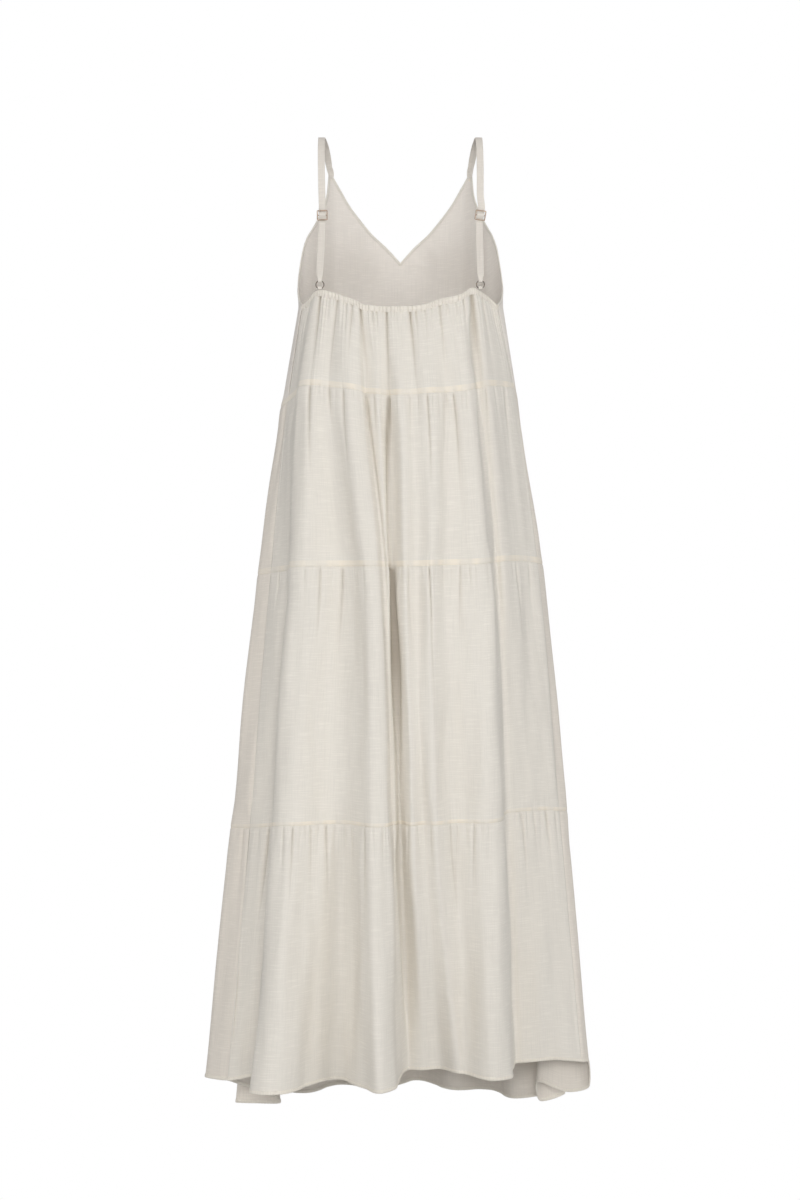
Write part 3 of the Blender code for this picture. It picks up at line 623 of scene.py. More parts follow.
def makeStitchMaterial(base):
    material, nodes, links, shader = newMaterial("stitchThread")
    twist = objectNoise(nodes, links, base["twist"])
    darker = tuple(part * base["dark"] for part in base["light"])
    links.new(mixColour(nodes, links, twist, darker, base["light"]), shader.inputs["Base Color"])
    shader.inputs["Roughness"].default_value = base["roughness"]
    shader.inputs["Sheen Weight"].default_value = 0.2
    return material


def makeMetalMaterial(name, base):
    material, nodes, links, shader = newMaterial(name)
    scuffs = objectNoise(nodes, links, base["scuffs"], 4.0)
    deeper = tuple(part * base["deeper"] for part in base["base"])
    links.new(mixColour(nodes, links, scuffs, deeper, base["base"]), shader.inputs["Base Color"])
    rough = mapRange(nodes, links, scuffs, 0.0, 1.0, base["roughness"] * 0.7, base["roughness"] * 1.6)
    links.new(rough, shader.inputs["Roughness"])
    shader.inputs["Metallic"].default_value = 1.0
    return material


panelCloth = makeClothMaterial("creamLinen", clothColours, True)
frontClothPaintedShade = makeClothMaterial("creamLinenFrontPaintedShade", clothColours | clothShades["front"], True)
bodiceClothLinedAndPaintedLight = makeClothMaterial("creamLinenBodiceLinedAndPaintedLight", clothColours | clothShades["bodice"], True)
casingCloth = makeClothMaterial("creamLinenCasing", clothColours | clothShades["casing"], True)
trimCloth = makeClothMaterial("creamLinenTrim", clothColours, False)
doubledCloth = makeClothMaterial("creamLinenDoubled", clothColours | clothShades["doubled"], False)
strapCloth = makeClothMaterial("creamLinenStrap", clothColours | clothShades["strap"], False)
stitchThread = makeStitchMaterial(stitchColours)
lightGold = makeMetalMaterial("lightGold", metalColours)
ringMetalPaintedShade = makeMetalMaterial("ringMetalPaintedShade", ringColoursPaintedShade)
print("materials ready")


def addMesh(name, points, faces, material, uvMaps=None):
    mesh = bpy.data.meshes.new(name)
    mesh.from_pydata(points.tolist(), [], faces)
    mesh.shade_smooth()
    mesh.materials.append(material)
    corners = np.zeros(len(mesh.loops), dtype=np.int32)
    mesh.loops.foreach_get("vertex_index", corners)
    for mapName, values in (uvMaps or {}).items():
        layer = mesh.uv_layers.new(name=mapName)
        layer.data.foreach_set("uv", values[corners].astype(np.float32).ravel())
    piece = bpy.data.objects.new(name, mesh)
    bpy.context.scene.collection.objects.link(piece)
    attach(piece, "root")
    return piece


def gridFaces(rows, columns, first=0, wrap=False):
    # squares of a grid whose rows run down and whose columns run to the right, facing outwards
    r, c = np.meshgrid(np.arange(rows - 1), np.arange(columns if wrap else columns - 1), indexing="ij")
    after = (c + 1) % columns
    here, below = r * columns, (r + 1) * columns
    faces = np.stack([here + c, below + c, below + after, here + after], -1)
    return faces.reshape(-1, 4) + first


def shellFaces(rows, columns):
    # both faces of a thin wall and its four rims
    inside = rows * columns
    outer = gridFaces(rows, columns)
    inner = gridFaces(rows, columns, inside)[:, ::-1]
    top = np.arange(columns)
    bottom = (rows - 1) * columns + top[::-1]
    left = np.arange(rows)[::-1] * columns
    right = np.arange(rows) * columns + columns - 1
    rims = []
    for line in (top, right, bottom, left):
        rims.append(np.stack([line[:-1], line[1:], line[1:] + inside, line[:-1] + inside], -1))
    return np.vstack([outer, inner] + rims)


def surfaceNormals(grid):
    down = np.gradient(grid, axis=0)
    right = np.gradient(grid, axis=1)
    normal = np.cross(down, right)
    return normal / np.maximum(np.linalg.norm(normal, axis=2, keepdims=True), 1e-12)


def addShell(name, grid, uvMaps, node, material):
    rows, columns = grid.shape[:2]
    inner = grid - surfaceNormals(grid) * form["clothThickness"]
    points = np.vstack([grid.reshape(-1, 3), inner.reshape(-1, 3)])
    maps = {key: np.vstack([value.reshape(-1, 2)] * 2) for key, value in uvMaps.items()}
    piece = addMesh(name, points, shellFaces(rows, columns).tolist(), material, maps)
    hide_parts(node)
    return piece


# The tiers and the back bodice
tierSizes = {
    "overlap": 0.001,
    "inset": (0.0004, 0.0016),  # depth and reach of the dip under a seam
    "casingInset": (0.0014, 0.005),
    "insetRise": 0.0006,
    "turnIn": (0.0013, 0.0022),
    "sideUnder": 0.0008,
    "sideLap": 0.05,  # share of the space between two fold lines
    "sideEase": 0.006,
    "softShare": 0.8,
    "softStart": 0.05,
    "softEnd": 0.04,
    "narrowAllowance": 1.45,
    "topRows": (0.0, 0.0012, 0.0026, 0.0044, 0.0066),
    "lowRows": (0.0058, 0.0040, 0.0026, 0.0013, 0.0),
    "middleRows": (0.0090, 0.0085),
}


def turnedIn(toEdge):
    # how far the lower edge of a panel turns in, to go behind the top of the next one
    depth, reach = tierSizes["turnIn"]
    return depth * np.exp(-((toEdge / reach) ** 2))


def panelLevels(start, end, rowStep):
    # rows from just inside the seam above down to the lower edge, closer together at both ends
    fine = start + np.array(tierSizes["topRows"])
    last = end - np.array(tierSizes["lowRows"])
    first, final = start + tierSizes["middleRows"][0], end - tierSizes["middleRows"][1]
    rest = np.linspace(first, final, int((final - first) / rowStep) + 1)
    above = [start - tierSizes["overlap"]] if start > topLevel else []
    return np.concatenate([above, fine, rest, last])


def panelGrid(columns, run, start, end, rowStep, seed, isFront):
    levels = panelLevels(start, end, rowStep)
    hang = hangRows(columns)
    states = seamStates(columns, isFront)
    sideEase = easeStep(np.minimum(run, run[-1] - run), 0.0, tierSizes["sideEase"])
    sideUnder = tierSizes["sideUnder"] if isFront else 0.0
    inset, insetReach = tierSizes["inset"] if end > seamOne else tierSizes["casingInset"]
    grid = np.zeros((len(levels), len(columns), 3))
    creases = np.zeros((len(levels), len(columns)))
    for row, level in enumerate(levels):
        points = planAt(level, columns)
        up = heightAt(level, hang)
        outward = outwardOf(points)
        gathered, tucked = gatherDrop(level, states), tuckDrop(level, states)
        # fold depths, which darken the base colour as painted shade in the creases
        creases[row] = gathered + tucked
        soft = softDrop(level, run, seed) * tierSizes["softShare"]
        drop = gathered + soft * easeStep(level - start, 0.0, tierSizes["softStart"])
        if end < hemLevel:
            drop -= soft * easeStep(level, end - tierSizes["softEnd"], end)
        drop = drop * sideEase + sideUnder * (1 - sideEase)
        below = max(level - start + tierSizes["insetRise"], 0)
        drop = drop + inset * math.exp(-below / insetReach) + tucked * sideEase
        if end < hemLevel:
            drop = drop + turnedIn(end - level)
        if not isFront:
            drop = drop + creaseDrop(points[:, 0], up, wrinkles)
        points = points - outward * drop[:, None]
        points[:, 1] += bustRound(points, up, columns)
        grid[row] = np.column_stack([points, up])
    u = np.tile(run + seed, (len(levels), 1))
    down = np.tile(levels[:, None] - start, (1, len(columns)))
    toEdge = np.ones_like(down)
    if end < hemLevel:
        toEdge = np.tile(end - levels[:, None], (1, len(columns)))
    if end == seamThree:
        toEdge = toEdge * tierSizes["narrowAllowance"]
    maps = {
        "cloth": np.stack([u, -down - seed], -1),
        "edges": np.stack([down, toEdge], -1),
        "folds": np.stack([creases, creases], -1),
    }
    return grid, maps


def makePanel(name, node, start, end, spacing, rowStep, seed, isFront):
    lap = tierSizes["sideLap"]
    span = (rightSeam - lap, lineCount + lap) if isFront else (0, rightSeam)
    columns, run = evenColumns(*span, (start, (start + end) / 2, end), spacing)
    grid, maps = panelGrid(columns, run, start, end, rowStep, seed, isFront)
    piece = addShell(name, grid, maps, node, frontClothPaintedShade if isFront else panelCloth)
    return grid


casing = {
    "height": 0.0085,
    "depth": 0.0028,
    "ruchePitch": 0.0054,
    "ruche": 0.0018,
    "pinch": 0.0009,
    "stitchLine": (-0.62, 0.14, 0.00035),  # height, width and depth; the first two as shares
    # painted shade: how far the pinches darken the casing's colour, as crease depth
    "pinchShadeDepth": 0.0026,
    "spacing": 0.0006,
    "ring": 24,
    "around": 0.023,
    "cut": (0.45, 0.0105),
}
tiers = (  # piece, node, start, end, column spacing, row step, seed, front or not
    ("backBodice", "back_bodice", casing["height"], seamOne, 0.0009, 0.0036, 0.3, False),
    ("tierTwoBack", "tier2_back", seamOne, seamTwo, 0.0011, 0.005, 1.7, False),
    ("tierThreeBack", "tier3_back", seamTwo, seamThree, 0.00125, 0.006, 3.1, False),
    ("tierFourBack", "tier4_back", seamThree, hemLevel, 0.0014, 0.006, 4.4, False),
    ("tierTwoFront", "tier2_front", seamOne, seamTwo, 0.002, 0.0064, 5.9, True),
    ("tierThreeFront", "tier3_front", seamTwo, seamThree, 0.0022, 0.007, 7.2, True),
    ("tierFourFront", "tier4_front", seamThree, hemLevel, 0.0023, 0.007, 8.8, True),
)
grids = {row[0]: makePanel(*row) for row in tiers}
print("tiers ready")

# The front bodice: half of its upper edge, in degrees from straight ahead and mm of height
bodice = {
    "neck": (
        (0.0, -158), (7.8, -137), (16.9, -117), (24.0, -98),
        (31.4, -77), (37.0, -58), (42.6, -40),
    ),
    "armhole": (
        (45.9, -40), (47.9, -71), (55.9, -105), (61.5, -120), (67.5, -133), (74.0, -153),
        (80.0, -177), (90.0, -213), (97.0, -233), (104.0, -242),
    ),
    "radius": 0.14,
    "spacing": 0.0028,
    "leastTurn": 0.32,  # degrees between columns where the edge is steep
    "rows": 70,
    "rowCrowding": 1.15,
    "highest": -0.21,
    "levels": 140,
    "edgeWidth": 0.0042,
    "edgeDepth": 0.0017,
    "ease": 0.02,
    "softShare": 0.35,
    "seed": 9.6,
    "cutShare": 0.62,  # share of its width times its height that the V and armholes leave
}


def alongOfAngle(angle):
    known = [
        (form["sideAngles"].get(line, line), place)
        for place, line in enumerate(lineNames)
        if place >= rightSeam
    ]
    known.append((-form["sideAngles"]["rightSeam"], lineCount))
    known.reverse()
    return np.interp(angle, *zip(*known))


def edgeHalf():
    # evenly spaced points of the right half of the bodice's upper edge
    found = []
    for rows in (bodice["neck"], bodice["armhole"]):
        angles, heights = np.array(rows, float).T
        heights = heights * mm
        run = runAlong(np.column_stack([np.radians(angles) * bodice["radius"], heights]))
        steps = np.linspace(0, run[-1], int(run[-1] / bodice["spacing"]) + 1)
        angles, heights = smoothLine(steps, run, angles), smoothLine(steps, run, heights)
        found += list(zip(angles, heights))
    kept = [found[0]]
    for angle, height in found[1:]:
        if angle - kept[-1][0] > bodice["leastTurn"] or (angle, height) == found[-1]:
            kept.append((angle, height))
    return kept


def bodiceGrid():
    half = edgeHalf()
    edge = half[:0:-1] + [(-angle, height) for angle, height in half]
    angles, tops = np.array(edge).T
    along = alongOfAngle(angles)
    hang = hangRows(along)
    parts = np.linspace(0, 1, bodice["rows"]) ** bodice["rowCrowding"]
    highest, lowest = hang[:, 0], hang[:, 1]
    grid = np.zeros((len(parts), len(edge), 3))
    levels = np.linspace(bodice["highest"], seamOne, bodice["levels"])
    table = np.array([planAt(level, along) for level in levels])
    columns = np.arange(len(edge))
    levelGrid = np.zeros((len(parts), len(edge)))
    for row, part in enumerate(parts):
        up = tops + (lowest - tops) * part
        share = (highest - up) / (highest - lowest)
        level = np.where(share > 0, share * seamOne, highest - up)
        place = (level - levels[0]) / (levels[1] - levels[0])
        i = np.clip(place.astype(int), 0, len(levels) - 2)
        t = (place - i)[:, None]
        points = table[i, columns] * (1 - t) + table[i + 1, columns] * t
        points[:, 1] += bustRound(points, up, along)
        grid[row] = np.column_stack([points, up])
        levelGrid[row] = level
    return grid, levelGrid


def edgeDistance(grid):
    # distance of each point of a grid from its upper edge
    edge = grid[0]
    nearest = [np.min(np.linalg.norm(edge - point, axis=1)) for point in grid.reshape(-1, 3)]
    return np.array(nearest).reshape(grid.shape[:2])


# Creases of the bodice: across, height, length, lean in degrees, depth, half width, in mm
bodiceCreases = (
    (-26, -156, 46, 62, 1.0, 4.0),
    (24, -158, 40, -64, 0.9, 4.0),
    (-44, -140, 44, 38, 1.3, 7.0),
    (46, -138, 46, -36, 1.3, 7.0),
    (-58, -118, 50, 24, 1.0, 9.0),
    (60, -112, 52, -20, 1.0, 9.0),
    (-106, -232, 40, 20, 0.8, 5.0),
    (104, -228, 36, -24, 0.8, 5.0),
    (10, -215, 60, 8, 0.7, 9.0),
    (-38, -255, 70, -10, 0.9, 9.0),
    (52, -262, 80, 12, 0.9, 9.0),
)


def makeFrontBodice():
    grid, levels = bodiceGrid()
    distance = edgeDistance(grid)
    run = runAlong(grid[-1])
    normals = surfaceNormals(grid)
    ease = easeStep(distance, 0.0, bodice["ease"]) * easeStep(seamOne - levels, 0.0, bodice["ease"])
    drop = creaseDrop(grid[..., 0], grid[..., 2], bodiceCreases)
    soft = np.array([softDrop(level, run, bodice["seed"]) for level in levels[:, 0]])
    soft = soft * bodice["softShare"]
    grid = grid - normals * ((drop + soft) * ease + turnedIn(seamOne - levels))[..., None]
    down = np.linalg.norm(np.diff(grid, axis=0), axis=2)
    down = np.vstack([np.zeros(grid.shape[1]), np.cumsum(down, axis=0)])
    lowest = down[-1] - down
    u = np.tile(run, (len(grid), 1))
    # the seam strip and the turned-in edge are both doubled cloth
    doubled = np.minimum(lowest, np.where(distance < bodice["edgeWidth"], 0.0, 1.0))
    maps = {
        "cloth": np.stack([u, lowest], -1),
        "edges": np.stack([distance, doubled], -1),
        "folds": np.zeros((*distance.shape, 2)),
    }
    piece = addShell("frontBodice", grid, maps, "front_bodice", bodiceClothLinedAndPaintedLight)
    return grid, normals


frontGrid, frontNormals = makeFrontBodice()
print("front bodice ready")


def addTube(name, grid, uv, material=None, creases=None):
    # a closed tube from rings of points, with a cap at each end
    count, ring = grid.shape[:2]
    points = grid.reshape(-1, 3)
    faces = gridFaces(count, ring, 0, True).tolist()
    for ringStart, order in ((0, 1), ((count - 1) * ring, -1)):
        faces.append([ringStart + corner for corner in range(ring)][::order])
    maps = {"cloth": uv.reshape(-1, 2)}
    # fold depths of the tube, for the painted shade in its creases
    if creases is not None:
        maps["edges"] = np.ones((len(points), 2))
        maps["folds"] = np.stack([creases, creases], -1).reshape(-1, 2)
    piece = addMesh(name, points, faces, material or trimCloth, maps)
    faceOutwards(piece)
    return piece


def sweep(name, centres, sides, outs, widths, depths, sections, slot="cloth", material=None, seed=0.0):
    # a closed strip swept along a line; sections are (side, out) shares of half its width and depth
    sections = np.asarray(sections)
    side = sides[:, None, :] * sections[None, :, 0, None] * np.reshape(widths, (-1, 1, 1)) / 2
    out = outs[:, None, :] * sections[None, :, 1, None] * np.reshape(depths, (-1, 1, 1)) / 2
    grid = centres[:, None, :] + side + out
    run = runAlong(centres)
    across = sections[:, 0][None, :] * np.reshape(widths, (-1, 1)) / 2
    uv = np.stack([across, np.tile(run[:, None], (1, len(sections)))], -1) + seed
    return addTube(name, grid, uv, material)


def faceOutwards(piece):
    bpy.ops.object.select_all(action="DESELECT")
    bpy.context.view_layer.objects.active = piece
    piece.select_set(True)
    bpy.ops.object.mode_set(mode="EDIT")
    bpy.ops.mesh.select_all(action="SELECT")
    bpy.ops.mesh.normals_make_consistent(inside=False)
    bpy.ops.object.mode_set(mode="OBJECT")
    piece.select_set(False)


def roundSection(count=12, power=0.6):
    # a rounded flat oval, as shares of the half width and half depth
    turns = np.linspace(0, 2 * math.pi, count, endpoint=False)
    circle = np.column_stack([np.cos(turns), np.sin(turns)])
    return np.sign(circle) * np.abs(circle) ** power


def resampleLine(points, spacing):
    run = runAlong(points[:, :3])
    wanted = np.linspace(0, run[-1], int(run[-1] / spacing) + 1)
    return np.column_stack([np.interp(wanted, run, values) for values in points.T]), wanted


def unit(vectors):
    return vectors / np.maximum(np.linalg.norm(vectors, axis=-1, keepdims=True), 1e-12)


# One stitch: place along it, thickness and lift of each ring, as shares of its length and radius
stitchShape = {
    "sides": 4,
    "rings": ((-0.5, 0.35, -0.6), (-0.3, 1.0, 0.2), (0.0, 1.05, 0.45), (0.3, 1.0, 0.2), (0.5, 0.35, -0.6)),
}


def makeStitches(name, points, outs, spec):
    # single stitches along a line, each a little spindle of thread, joined into one mesh
    line, run = resampleLine(np.hstack([points, outs]), spec["pitch"])
    places, outs = line[:, :3], unit(line[:, 3:])
    ahead = unit(np.gradient(places, axis=0))
    across = unit(np.cross(ahead, outs))
    shape, ring = stitchShape["rings"], stitchShape["sides"]
    turns = np.linspace(0, 2 * math.pi, ring, endpoint=False)
    points, faces = [], []
    for place, front, out, side in zip(places, ahead, outs, across):
        first = len(points)
        for length, size, lift in shape:
            centre = place + front * spec["length"] * length + out * spec["radius"] * lift
            for turn in turns:
                points.append(centre + (side * math.cos(turn) + out * math.sin(turn)) * spec["radius"] * size)
        for row in range(len(shape) - 1):
            for corner in range(ring):
                low, high, after = first + row * ring, first + (row + 1) * ring, (corner + 1) % ring
                faces.append((low + corner, high + corner, high + after, low + after))
        faces.append(tuple(first + corner for corner in range(ring)))
        faces.append(tuple(first + (len(shape) - 1) * ring + corner for corner in range(ring))[::-1])
    faceOutwards(addMesh(name, np.array(points), faces, stitchThread, None))


# Rolled hem of the lowest tier, with a puckered edge
hem = {
    "height": 0.0052,
    "depth": 0.0019,
    "pitch": 0.0047,
    "pucker": 0.2,
    "puckerTall": 0.35,
    "overlap": 0.0004,
    "spacing": 0.0013,
    "section": (10, 0.7),
}
hemStitch = {"pitch": 0.0047, "length": 0.0029, "radius": 0.00024, "above": 0.0046, "proud": 0.00045}


def makeHem(name, grid, seed):
    edge, above = grid[-1], grid[-3]
    normals = surfaceNormals(grid[-4:])[-1]
    line, run = resampleLine(np.hstack([edge, unit(above - edge), normals]), hem["spacing"])
    edge, up, out = line[:, :3], unit(line[:, 3:6]), unit(line[:, 6:])
    wave = np.sin(2 * math.pi * run / hem["pitch"] + 0.6 * np.sin(run / 0.013 + seed))
    size = 1 + hem["pucker"] * wave * (0.6 + 0.4 * uneven(run, 0.05, seed))
    centres = edge + up * (hem["height"] / 2 - hem["overlap"]) - out * form["clothThickness"] / 2
    widths = hem["height"] * (1 + hem["puckerTall"] * (size - 1))
    depths = hem["depth"] * size
    section = roundSection(*hem["section"])
    sweep(name, centres, up, out, widths, depths, section, "cloth", doubledCloth, seed)
    stitchLine = edge + up * hemStitch["above"]
    makeStitches(name + "Stitches", stitchLine + out * hemStitch["proud"], out, hemStitch)
    stitchLine = stitchLine - out * (hemStitch["proud"] + form["clothThickness"])
    makeStitches(name + "StitchesInside", stitchLine, -out, hemStitch)


makeHem("hemBack", grids["tierFourBack"], 2.3)
makeHem("hemFront", grids["tierFourFront"], 5.1)
print("hems ready")

# Turned and stitched edge of the neckline and the armholes
edgeStitch = {"pitch": 0.0031, "length": 0.0023, "radius": 0.0002, "inset": 0.0033}
edgeRoll = {"spacing": 0.0016, "overlap": 0.0003, "uneven": 0.06, "section": (10, 0.55), "tip": 0.7}


def edgeStretches(edge):
    # the two armholes and the two halves of the neck, between the ends of the strap points
    centre = len(edge) // 2
    strapPoints = sorted(int(i) for i in np.argsort(-edge[:, 2])[:4])
    return (
        ("armholeEdgeRight", 0, strapPoints[0] + 1),
        ("neckEdgeRight", strapPoints[1], centre + 1),
        ("neckEdgeLeft", centre, strapPoints[2] + 1),
        ("armholeEdgeLeft", strapPoints[3], len(edge)),
    )


def makeBodiceEdge():
    edge, normals = frontGrid[0], frontNormals[0]
    for name, first, last in edgeStretches(edge):
        line, out = edge[first:last], normals[first:last]
        inwards = unit(np.cross(out, unit(np.gradient(line, axis=0))))
        inwards *= np.sign(-inwards[:, 2:3].mean())
        packed = np.hstack([line, inwards, out])
        # the two halves of the neck run on a little, to meet at the tip of the V
        if name == "neckEdgeRight":
            packed = np.vstack([packed, packed[-1:] + (packed[-1:] - packed[-2:-1]) * edgeRoll["tip"]])
        if name == "neckEdgeLeft":
            packed = np.vstack([packed[:1] + (packed[:1] - packed[1:2]) * edgeRoll["tip"], packed])
        packed, run = resampleLine(packed, edgeRoll["spacing"])
        place, inwards, out = packed[:, :3], unit(packed[:, 3:6]), unit(packed[:, 6:])
        place = place - out * form["clothThickness"] / 2
        size = 1 + edgeRoll["uneven"] * np.sin(run / 0.0011) * uneven(run, 0.03, 1.0)
        middle = place + inwards * (bodice["edgeWidth"] / 2 - edgeRoll["overlap"])
        widths = np.full(len(place), bodice["edgeWidth"])
        depths = bodice["edgeDepth"] * size
        sweep(name, middle, inwards, out, widths, depths, roundSection(*edgeRoll["section"]))
        for word, sign in (("", 1), ("Inside", -1)):
            proud = out * sign * bodice["edgeDepth"] / 2 * 0.96
            stitchLine = place + inwards * edgeStitch["inset"] + proud
            makeStitches(name + "Stitches" + word, stitchLine, out * sign, edgeStitch)


makeBodiceEdge()
print("bodice edges ready")


def makeCasing():
    # the elastic casing: a round-edged tube of cloth, drawn up into small uneven ruches
    columns, _ = evenColumns(0, rightSeam, (topLevel, topLevel + casing["height"]), casing["spacing"])
    top, low = planAt(topLevel, columns), planAt(topLevel + casing["height"], columns)
    hang = hangRows(columns)
    upper = np.column_stack([top, heightAt(topLevel, hang)])
    lower = np.column_stack([low, heightAt(topLevel + casing["height"], hang)])
    out = np.column_stack([outwardOf(top), np.zeros(len(top))])
    packed, run = resampleLine(np.hstack([upper, lower, out]), casing["spacing"])
    upper, lower, out = packed[:, :3], packed[:, 3:6], unit(packed[:, 6:])
    phase = run / casing["ruchePitch"] + 0.35 * np.sin(run / 0.009 + 1.0) + 0.2 * np.sin(run / 0.0037)
    # round puffs with a sharp pinch between each pair
    puff = np.abs(np.sin(math.pi * phase)) ** 0.55
    size = 0.75 + 0.5 * uneven(run, 0.037, 2.2)
    ups = unit(upper - lower)
    out = unit(out - ups * np.sum(out * ups, axis=1, keepdims=True))
    tall = np.linalg.norm(upper - lower, axis=1)
    pinched = size * (1 - puff)
    middle = (upper + lower) / 2 - out * casing["depth"] / 2
    lineHeight, lineWidth, lineDepth = casing["stitchLine"]
    grid, creases = [], []
    for turn in np.linspace(0, 2 * math.pi, casing["ring"], endpoint=False):
        rise, stand = math.cos(turn), math.sin(turn)
        rise = math.copysign(abs(rise) ** 0.7, rise)
        stand = math.copysign(abs(stand) ** 0.8, stand)
        # the pinches fan out from the edges, with a stitched line near the lower edge
        line = math.exp(-(((rise - lineHeight) / lineWidth) ** 2)) * lineDepth
        bulge = casing["depth"] / 2 - casing["ruche"] * pinched * (0.4 + 0.6 * abs(stand)) - line
        high = tall / 2 + 0.0003 - casing["pinch"] * pinched * max(rise, 0)
        grid.append(middle + ups * (high * rise)[:, None] + out * (bulge * stand)[:, None])
        # painted shade: the pinches and the stitched line darken the casing's base colour through their fold
        # depths
        creases.append(casing["pinchShadeDepth"] * pinched + line * 2)
    grid, creases = np.stack(grid, axis=1), np.stack(creases, axis=1)
    count, ring = grid.shape[:2]
    along = np.tile(run[:, None], (1, ring))
    around = np.tile(np.linspace(0, casing["around"], ring), (count, 1))
    uv = np.stack([along, around], -1)
    piece = addTube("elasticCasing", grid, uv, casingCloth, creases)
    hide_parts("back_band")


makeCasing()
print("casing ready")

# Shoulder straps
straps = {
    "route": (  # left and right place across, then away, height and width, in mm
        (-102.6, 102.8, 66.5, -29.0, 8.8),
        (-104.2, 104.6, 60.0, -20.0, 9.6),
        (-106.8, 107.4, 42.0, -6.5, 9.6),
        (-109.4, 109.8, 20.0, -0.9, 9.6),
        (-110.8, 111.0, -2.0, -1.4, 9.6),
        (-110.4, 111.2, -24.0, -8.0, 9.6),
        (-110.0, 111.2, -44.0, -22.0, 9.6),
        (-109.4, 111.2, -60.0, -43.0, 9.6),
        (-108.6, 111.0, -71.5, -70.0, 9.6),
        (-107.8, 110.9, -77.0, -98.0, 9.6),
    ),
    "slider": (-107.3, 111.0, -78.5, -126.0),
    "tilt": (0.0, 9.0),
    "tiltReach": 12.0,
    "weave": (
        (0.9, 10.0, 9.6), (1.9, 6.3, 9.6), (0.0, 3.15, 9.6), (-1.9, 0.0, 9.6),
        (0.0, -3.15, 9.6), (1.9, -6.3, 9.6), (1.0, -10.0, 9.6),
    ),
    "ringTurn": (
        (-1.8, 13.0, 9.0), (-1.7, 8.5, 6.6), (-1.65, 5.0, 5.6), (-1.15, 3.4, 5.6), (0.0, 2.85, 5.6),
        (1.15, 3.4, 5.6), (1.65, 5.0, 5.6), (1.7, 8.5, 6.6), (1.8, 13.0, 9.0),
    ),
    "return": ((2.9, -10.0, 9.6), (3.6, -6.3, 9.6), (2.8, -2.6, 9.6), (2.0, 0.6, 9.6)),
    "tabTurn": (
        (-1.65, -6.7, 5.6), (-1.65, -4.8, 5.6), (-1.15, -3.4, 5.6), (0.0, -2.85, 5.6),
        (1.15, -3.4, 5.6), (1.65, -4.8, 5.6), (1.65, -6.7, 5.6),
    ),
    "thickness": 0.0012,
    "footAngle": 44.25,
    "footTop": -40,
    "footRows": ((-3.0, 9.4), (4.5, 9.6)),  # height above the strap point, width
    "footInset": 0.00075,
    "startTurn": 44,
    "straightBy": 0.03,
    "cutWidth": 0.0108,
    "tabWidth": 0.0056,
    "tabCut": (0.01, 0.0115),
    "tabArea": 0.000068,
    # edges a little thinner than the middle, and a shallow groove along each row of stitches
    "halfSection": (
        (-1, 0), (-0.97, 0.7), (-0.86, 0.96), (-0.66, 0.84), (-0.5, 1.0), (0, 1.04),
        (0.5, 1.0), (0.66, 0.84), (0.86, 0.96), (0.97, 0.7), (1, 0),
    ),
}
strapStitch = {"pitch": 0.0029, "length": 0.0021, "radius": 0.00018, "inset": 0.0016}


def middleOf(node):
    low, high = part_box(node)
    return (np.array(low) + np.array(high)) / 2


def strapLine(side, ringAt):
    sliderAt = np.array([straps["slider"][side], straps["slider"][2], straps["slider"][3]])
    ring = ringAt / mm
    rows = strapFoot(side) + [(row[side], row[2], row[3], row[4]) for row in straps["route"]]
    tilt = math.radians(straps["tilt"][side])
    for key, centre, lean in (("weave", sliderAt, tilt), ("ringTurn", ring, 0), ("return", sliderAt, tilt)):
        for away, up, width in straps[key]:
            place = centre + np.array([up * math.sin(lean), away, up * math.cos(lean)])
            rows.append((*place, width))
    rows = np.array(rows)
    run = np.concatenate([[0], np.cumsum(np.linalg.norm(np.diff(rows[:, :3], axis=0), axis=1) ** 0.5)])
    line = smoothLine(np.linspace(0, run[-1], 900), run, rows)
    line, _ = resampleLine(line, 0.9)
    return line, sliderAt, tilt


def strapFoot(side):
    # the strap starts in the middle of the bodice's wall, just above the strap point
    angle = straps["footAngle"] * (-1, 1)[side]
    along = alongOfAngle(np.array([angle - 0.2, angle, angle + 0.2]))
    top = straps["footTop"]
    points = planAt(hangRows(along)[1, 0] - top * mm, along)
    outward = outwardOf(points[::-1])[1]
    across, away = (points[1] - outward * straps["footInset"]) / mm
    return [(across, away, top + lift, width) for lift, width in straps["footRows"]]


def makeStrap(side, label):
    ringAt = middleOf(f"ring_{label.lower()}")
    line, sliderAt, tilt = strapLine(side, ringAt)
    points = line[:, :3] * mm
    turn = math.radians(straps["startTurn"]) * (-1, 1)[side]
    start = np.array([math.cos(turn), -math.sin(turn), 0.0])
    share = np.clip((points[:, 2] - points[0, 2]) / straps["straightBy"], 0, 1)
    share[np.argmax(points[:, 2]) :] = 1.0
    across = start + (np.array([1.0, 0, 0]) - start) * share[:, None]
    near = np.clip(1.8 - np.abs(points[:, 2] / mm - sliderAt[2]) / straps["tiltReach"], 0, 1)
    across[:, 2] -= math.tan(tilt) * near
    ahead = unit(np.gradient(points, axis=0))
    across = unit(across - ahead * np.sum(across * ahead, axis=1, keepdims=True))
    outs = unit(np.cross(ahead, across))
    half = straps["halfSection"]
    sections = half + tuple((across, -out) for across, out in half[-2:0:-1])
    widths = line[:, 3] * mm
    depths = np.full(len(points), straps["thickness"])
    finish = ("strap_cloth", strapCloth, side + 0.2)
    piece = sweep(f"strap{label}", points, across, outs, widths, depths, sections, *finish)
    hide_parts(f"strap_{label.lower()}")
    for word, sign in (("Outer", 1), ("Inner", -1)):
        for edge, place in (("A", -1), ("B", 1)):
            offset = across * (widths[:, None] / 2 - strapStitch["inset"]) * place
            lineHere = points + offset + outs * sign * straps["thickness"] / 2 * 0.86
            makeStitches(f"strap{label}{word}Stitch{edge}", lineHere, outs * sign, strapStitch)


